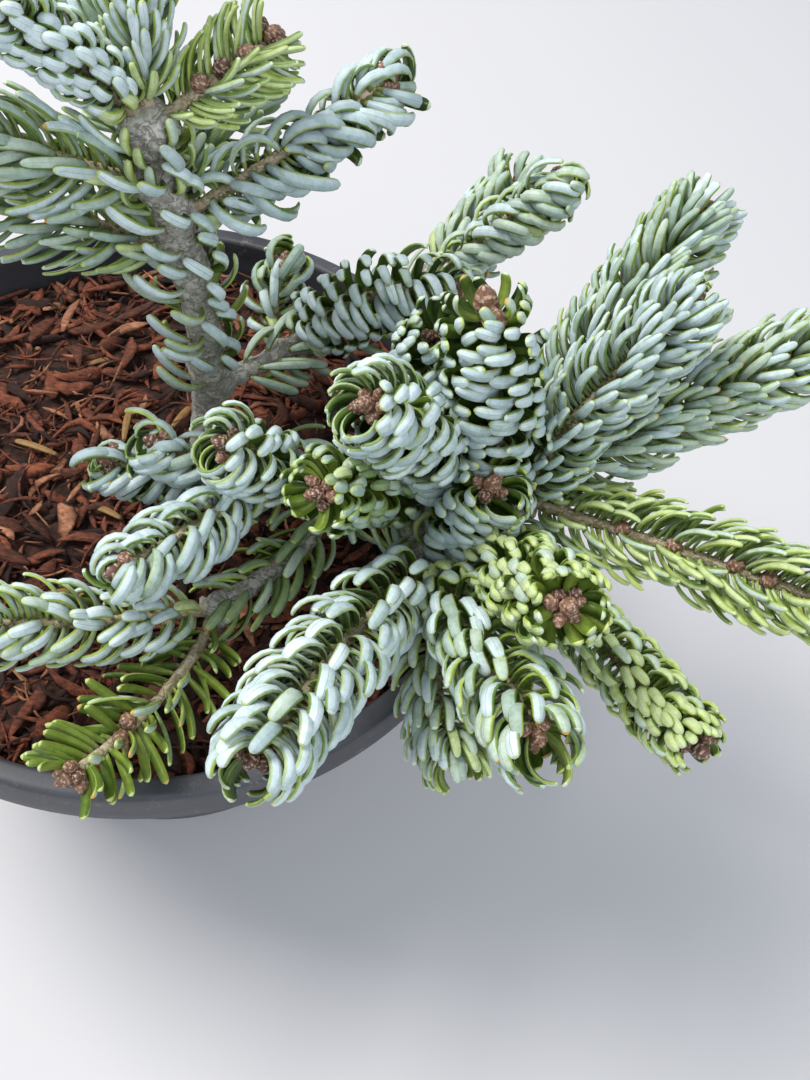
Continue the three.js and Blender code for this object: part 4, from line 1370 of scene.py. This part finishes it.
def chip_places(kind, random):
    """Chips of one kind: stations along a strip that bends as a parabola, and round each station an
    oval whose radius falls with the distance from the middle, frayed by a random share."""
    count = kind["count"]
    length, width, thick, lift = (random.uniform(*kind[size], count) for size in CHIP_SIZES)
    heading = random.uniform(0, 2 * np.pi, count)
    along = tilted(heading, random.normal(0, CHIP_TILT, count))
    angle = random.uniform(0, 2 * np.pi, count)
    reach = WALL_RADIUS * np.sqrt(random.uniform(0, 1, count))
    room = WALL_RADIUS - 0.5 * length * np.abs(np.cos(heading - angle)) - 0.5 * width - WALL_GAP
    x, y = polar(np.minimum(reach, room), angle)
    middle = np.stack([x, y, ground_height(x, y) + lift], axis=1)
    flat = unit(np.cross([0, 0, 1.0], along))
    side = swing(flat, np.cross(along, flat), random.normal(0, CHIP_ROLL, count))
    t = np.linspace(-0.5, 0.5, CHIP_STATIONS)
    bow = (random.normal(0, CHIP_BEND, count) * length)[:, None] * (t**2 * 4 - 0.4)
    line = middle[:, None] + along[:, None] * (t * length[:, None])[..., None]
    line = line + side[:, None] * bow[..., None]
    fray = random.uniform(0, 1, (count, CHIP_STATIONS, CHIP_SIDES))
    radius = (1 - CHIP_TAPER * np.abs(2 * t) ** 3)[None, :, None] * (CHIP_FRAY[0] + CHIP_FRAY[1] * fray)
    wide, high = polar(radius, round_angles(CHIP_SIDES))
    wide = (wide * width[:, None, None] / 2)[..., None]
    high = (high * thick[:, None, None] / 2)[..., None]
    return line[:, :, None] + side[:, None, None] * wide + np.cross(along, side)[:, None, None] * high


def add_mulch():
    """All chips as one piece, less those that cross the trunk's foot or the wall."""
    random = np.random.default_rng(MULCH_SEED)
    places = np.concatenate([chip_places(kind, random) for kind in CHIP_KINDS])
    off_trunk = from_axis(places, TRUNK_FOOT).min(axis=(1, 2)) > TRUNK_CLEARANCE
    places = places[off_trunk & (from_axis(places).max(axis=(1, 2)) < WALL_RADIUS)]
    count = len(places)
    look = random.choice(len(MULCH_FINISHES), count, p=MULCH_SHARES)
    looks = np.concatenate([np.repeat(look, (CHIP_STATIONS - 1) * CHIP_SIDES), np.repeat(look, 2)])
    add_piece("bark_mulch", places, MULCH_FINISHES, looks)
    print("chips:", count)


add_mulch()

# %% [markdown]
# Under the chips lies the compost, dark and crumbly, and its colour is made darker still as painted
# shade for the deep gaps between the chips. A flat disc would do in the gaps, but not where the chips
# thin out at the wall. So a polar grid follows the same lumpy height as the chips do, with smaller
# crumbs on top, and turns down at the wall so that no edge shows. It is a tube too, with rings that
# grow from the axis outwards, which is why its faces are turned over.

# %% Compost
COMPOST_RINGS = 70
COMPOST_SIDES = 220
CRUMB_LIFT = 0.9
CRUMBS = (0.8, 3.2)
CRUMB_SEED = 71
FIRST_RING = 0.05
COMPOST_GAP = 0.3
SKIRT_DEPTH = 8.0
SKIRT_INWARD = np.array([0.985, 0.985, 1])
TO_AXIS = np.array([0.1, 0.1, 1])


def compost_finish():
    """Dark grains of noise, darkened as painted shade for the gaps, with a bump of round crumbs under a finer
    one.
    """
    # The compost's own dark colour is deepened here as painted shade for the gaps between the chips.
    material, tree = new_finish("compost", srgb(40, 24, 17), 0.95)
    crumbs = texture(tree, 420, kind="Voronoi", output="Distance")
    grain = texture(tree, 300, Detail=6, Roughness=0.7)
    feed(tree, ramp(tree, grain, (0.35, srgb(20, 11, 8)), (0.68, srgb(76, 43, 30))))
    bump(tree, crumbs, 0.6, 0.001)
    bump(tree, grain, 0.7, 0.0008)
    return material


def add_compost(finish):
    """Rings of places at the ground's height, with a small ring at the axis and a skirt at the wall."""
    reach = np.linspace(FIRST_RING, 1, COMPOST_RINGS)[:, None] * (WALL_RADIUS - COMPOST_GAP)
    x, y = polar(reach, round_angles(COMPOST_SIDES))
    height = ground_height(x, y) + CRUMB_LIFT + level_noise(x, y, CRUMBS, CRUMB_SEED)
    top = np.stack([x, y, height], axis=-1)
    skirt = top[-1:] * SKIRT_INWARD - np.array([0, 0, SKIRT_DEPTH])
    places = np.concatenate([top[:1] * TO_AXIS, top, skirt])
    add_piece("compost_top", places, [finish], turned_over=True)


COMPOST = compost_finish()
add_compost(COMPOST)
medium = bpy.data.objects["growing_medium"]
medium.data.materials.clear()
medium.data.materials.append(COMPOST)
print("the model's own piece now has the finish:", medium.data.materials[0].name)

# %% [markdown]
# A few old needles lie on the mulch, straw-coloured or brown. They could be copied by hand, but they
# are the same blades, so the same function makes them, laid flat with little curl.

# %% Fallen needles
FALLEN = 20
FALLEN_SEED = 90
FALLEN_REACH = 84
FALLEN_TILT = (0.02, 0.12)
FALLEN_LENGTH = (9, 15)
FALLEN_HEIGHT = (4.6, 6.2)
FALLEN_CURL = (0.15, 0.9)
FALLEN_BLADE = dict(leave=0.15, power=1.2, wrap=0.0, width=2.1, thickness=0.7)


def add_fallen():
    """Needles at random on the mulch, less those that reach the wall."""
    random = np.random.default_rng(FALLEN_SEED)
    angle = random.uniform(0, 2 * np.pi, FALLEN)
    x, y = polar(FALLEN_REACH * np.sqrt(random.uniform(0, 1, FALLEN)), angle)
    heading = random.uniform(0, 2 * np.pi, FALLEN)
    along = tilted(heading, random.normal(*FALLEN_TILT, FALLEN))
    outward = unit(np.array([UPWARD]) - along * along[:, 2:])
    length = random.uniform(*FALLEN_LENGTH, FALLEN)
    root = np.stack([x, y, ground_height(x, y) + random.uniform(*FALLEN_HEIGHT, FALLEN)], axis=1)
    curl = random.uniform(*FALLEN_CURL, FALLEN)
    alike = {key: np.full(FALLEN, value) for key, value in FALLEN_BLADE.items()}
    places = needle_places(root, along, outward, outward, curl=curl, length=length, **alike)
    places = places[from_axis(places).max(axis=(1, 2)) < WALL_RADIUS - 1]
    add_blades("fallen_needles", places, np.full(len(places), "dead"), random)


add_fallen()

# %% [markdown]
# The stage is a plain pale floor under soft daylight-coloured lamps: one large lamp high on the left
# behind the plant, a wide fill from the camera's side, and an even sky. A sun would be simpler, but its
# shadows are hard. Large lamps keep the shadows between the needles open, as on the overcast day of
# the photograph.

# %% Stage and light
FLOOR_HALF = 30.0
LAMP_AIM = (0.05, 0, 0.15)
SKY_COLOR = (0.82, 0.9, 1.0, 1)
SKY_STRENGTH = 0.55


def add_floor():
    """One square face under the pot."""
    mesh = bpy.data.meshes.new("floor")
    corners = [(x * FLOOR_HALF, y * FLOOR_HALF, 0) for x, y in ((-1, -1), (1, -1), (1, 1), (-1, 1))]
    mesh.from_pydata(corners, [], [(0, 1, 2, 3)])
    floor = new_object("floor", mesh)
    mesh.materials.append(new_finish("floor", srgb(206, 204, 206), 0.9)[0])


def add_lamp(name, place, size, power, color):
    """A square lamp, in metres and watts, whose back points away from what it is aimed at."""
    data = bpy.data.lights.new(name, "AREA")
    data.size = size
    data.energy = power
    data.color = color
    back = unit(np.array(place) - np.array(LAMP_AIM))
    side = unit(np.cross(UPWARD, back))
    stand(new_object(name, data), side, np.cross(back, side), back, place)
    print(f"{name} lamp: {power} W")


def add_light():
    """Two lamps and the sky, shown without a film look."""
    bpy.context.scene.view_settings.view_transform = "Standard"
    add_lamp("key", (-0.85, 0.15, 1.45), 0.8, 30, (1.0, 0.98, 0.94))
    add_lamp("fill", (0.9, -1.0, 1.2), 1.4, 12, (0.92, 0.96, 1.0))
    world = bpy.data.worlds.new("sky")
    world.use_nodes = True
    sky = world.node_tree.nodes["Background"]
    sky.inputs["Color"].default_value = SKY_COLOR
    sky.inputs["Strength"].default_value = SKY_STRENGTH
    bpy.context.scene.world = world


add_floor()
add_light()

# %% [markdown]
# The dressed plant has to keep the model's size. It could be measured by eye in the viewport; this
# script ends by printing how many pieces it made and how many triangles they have.

# %% Counts, and done
print("pieces:", len(PIECES), "triangles:", sum(PIECES.values()))
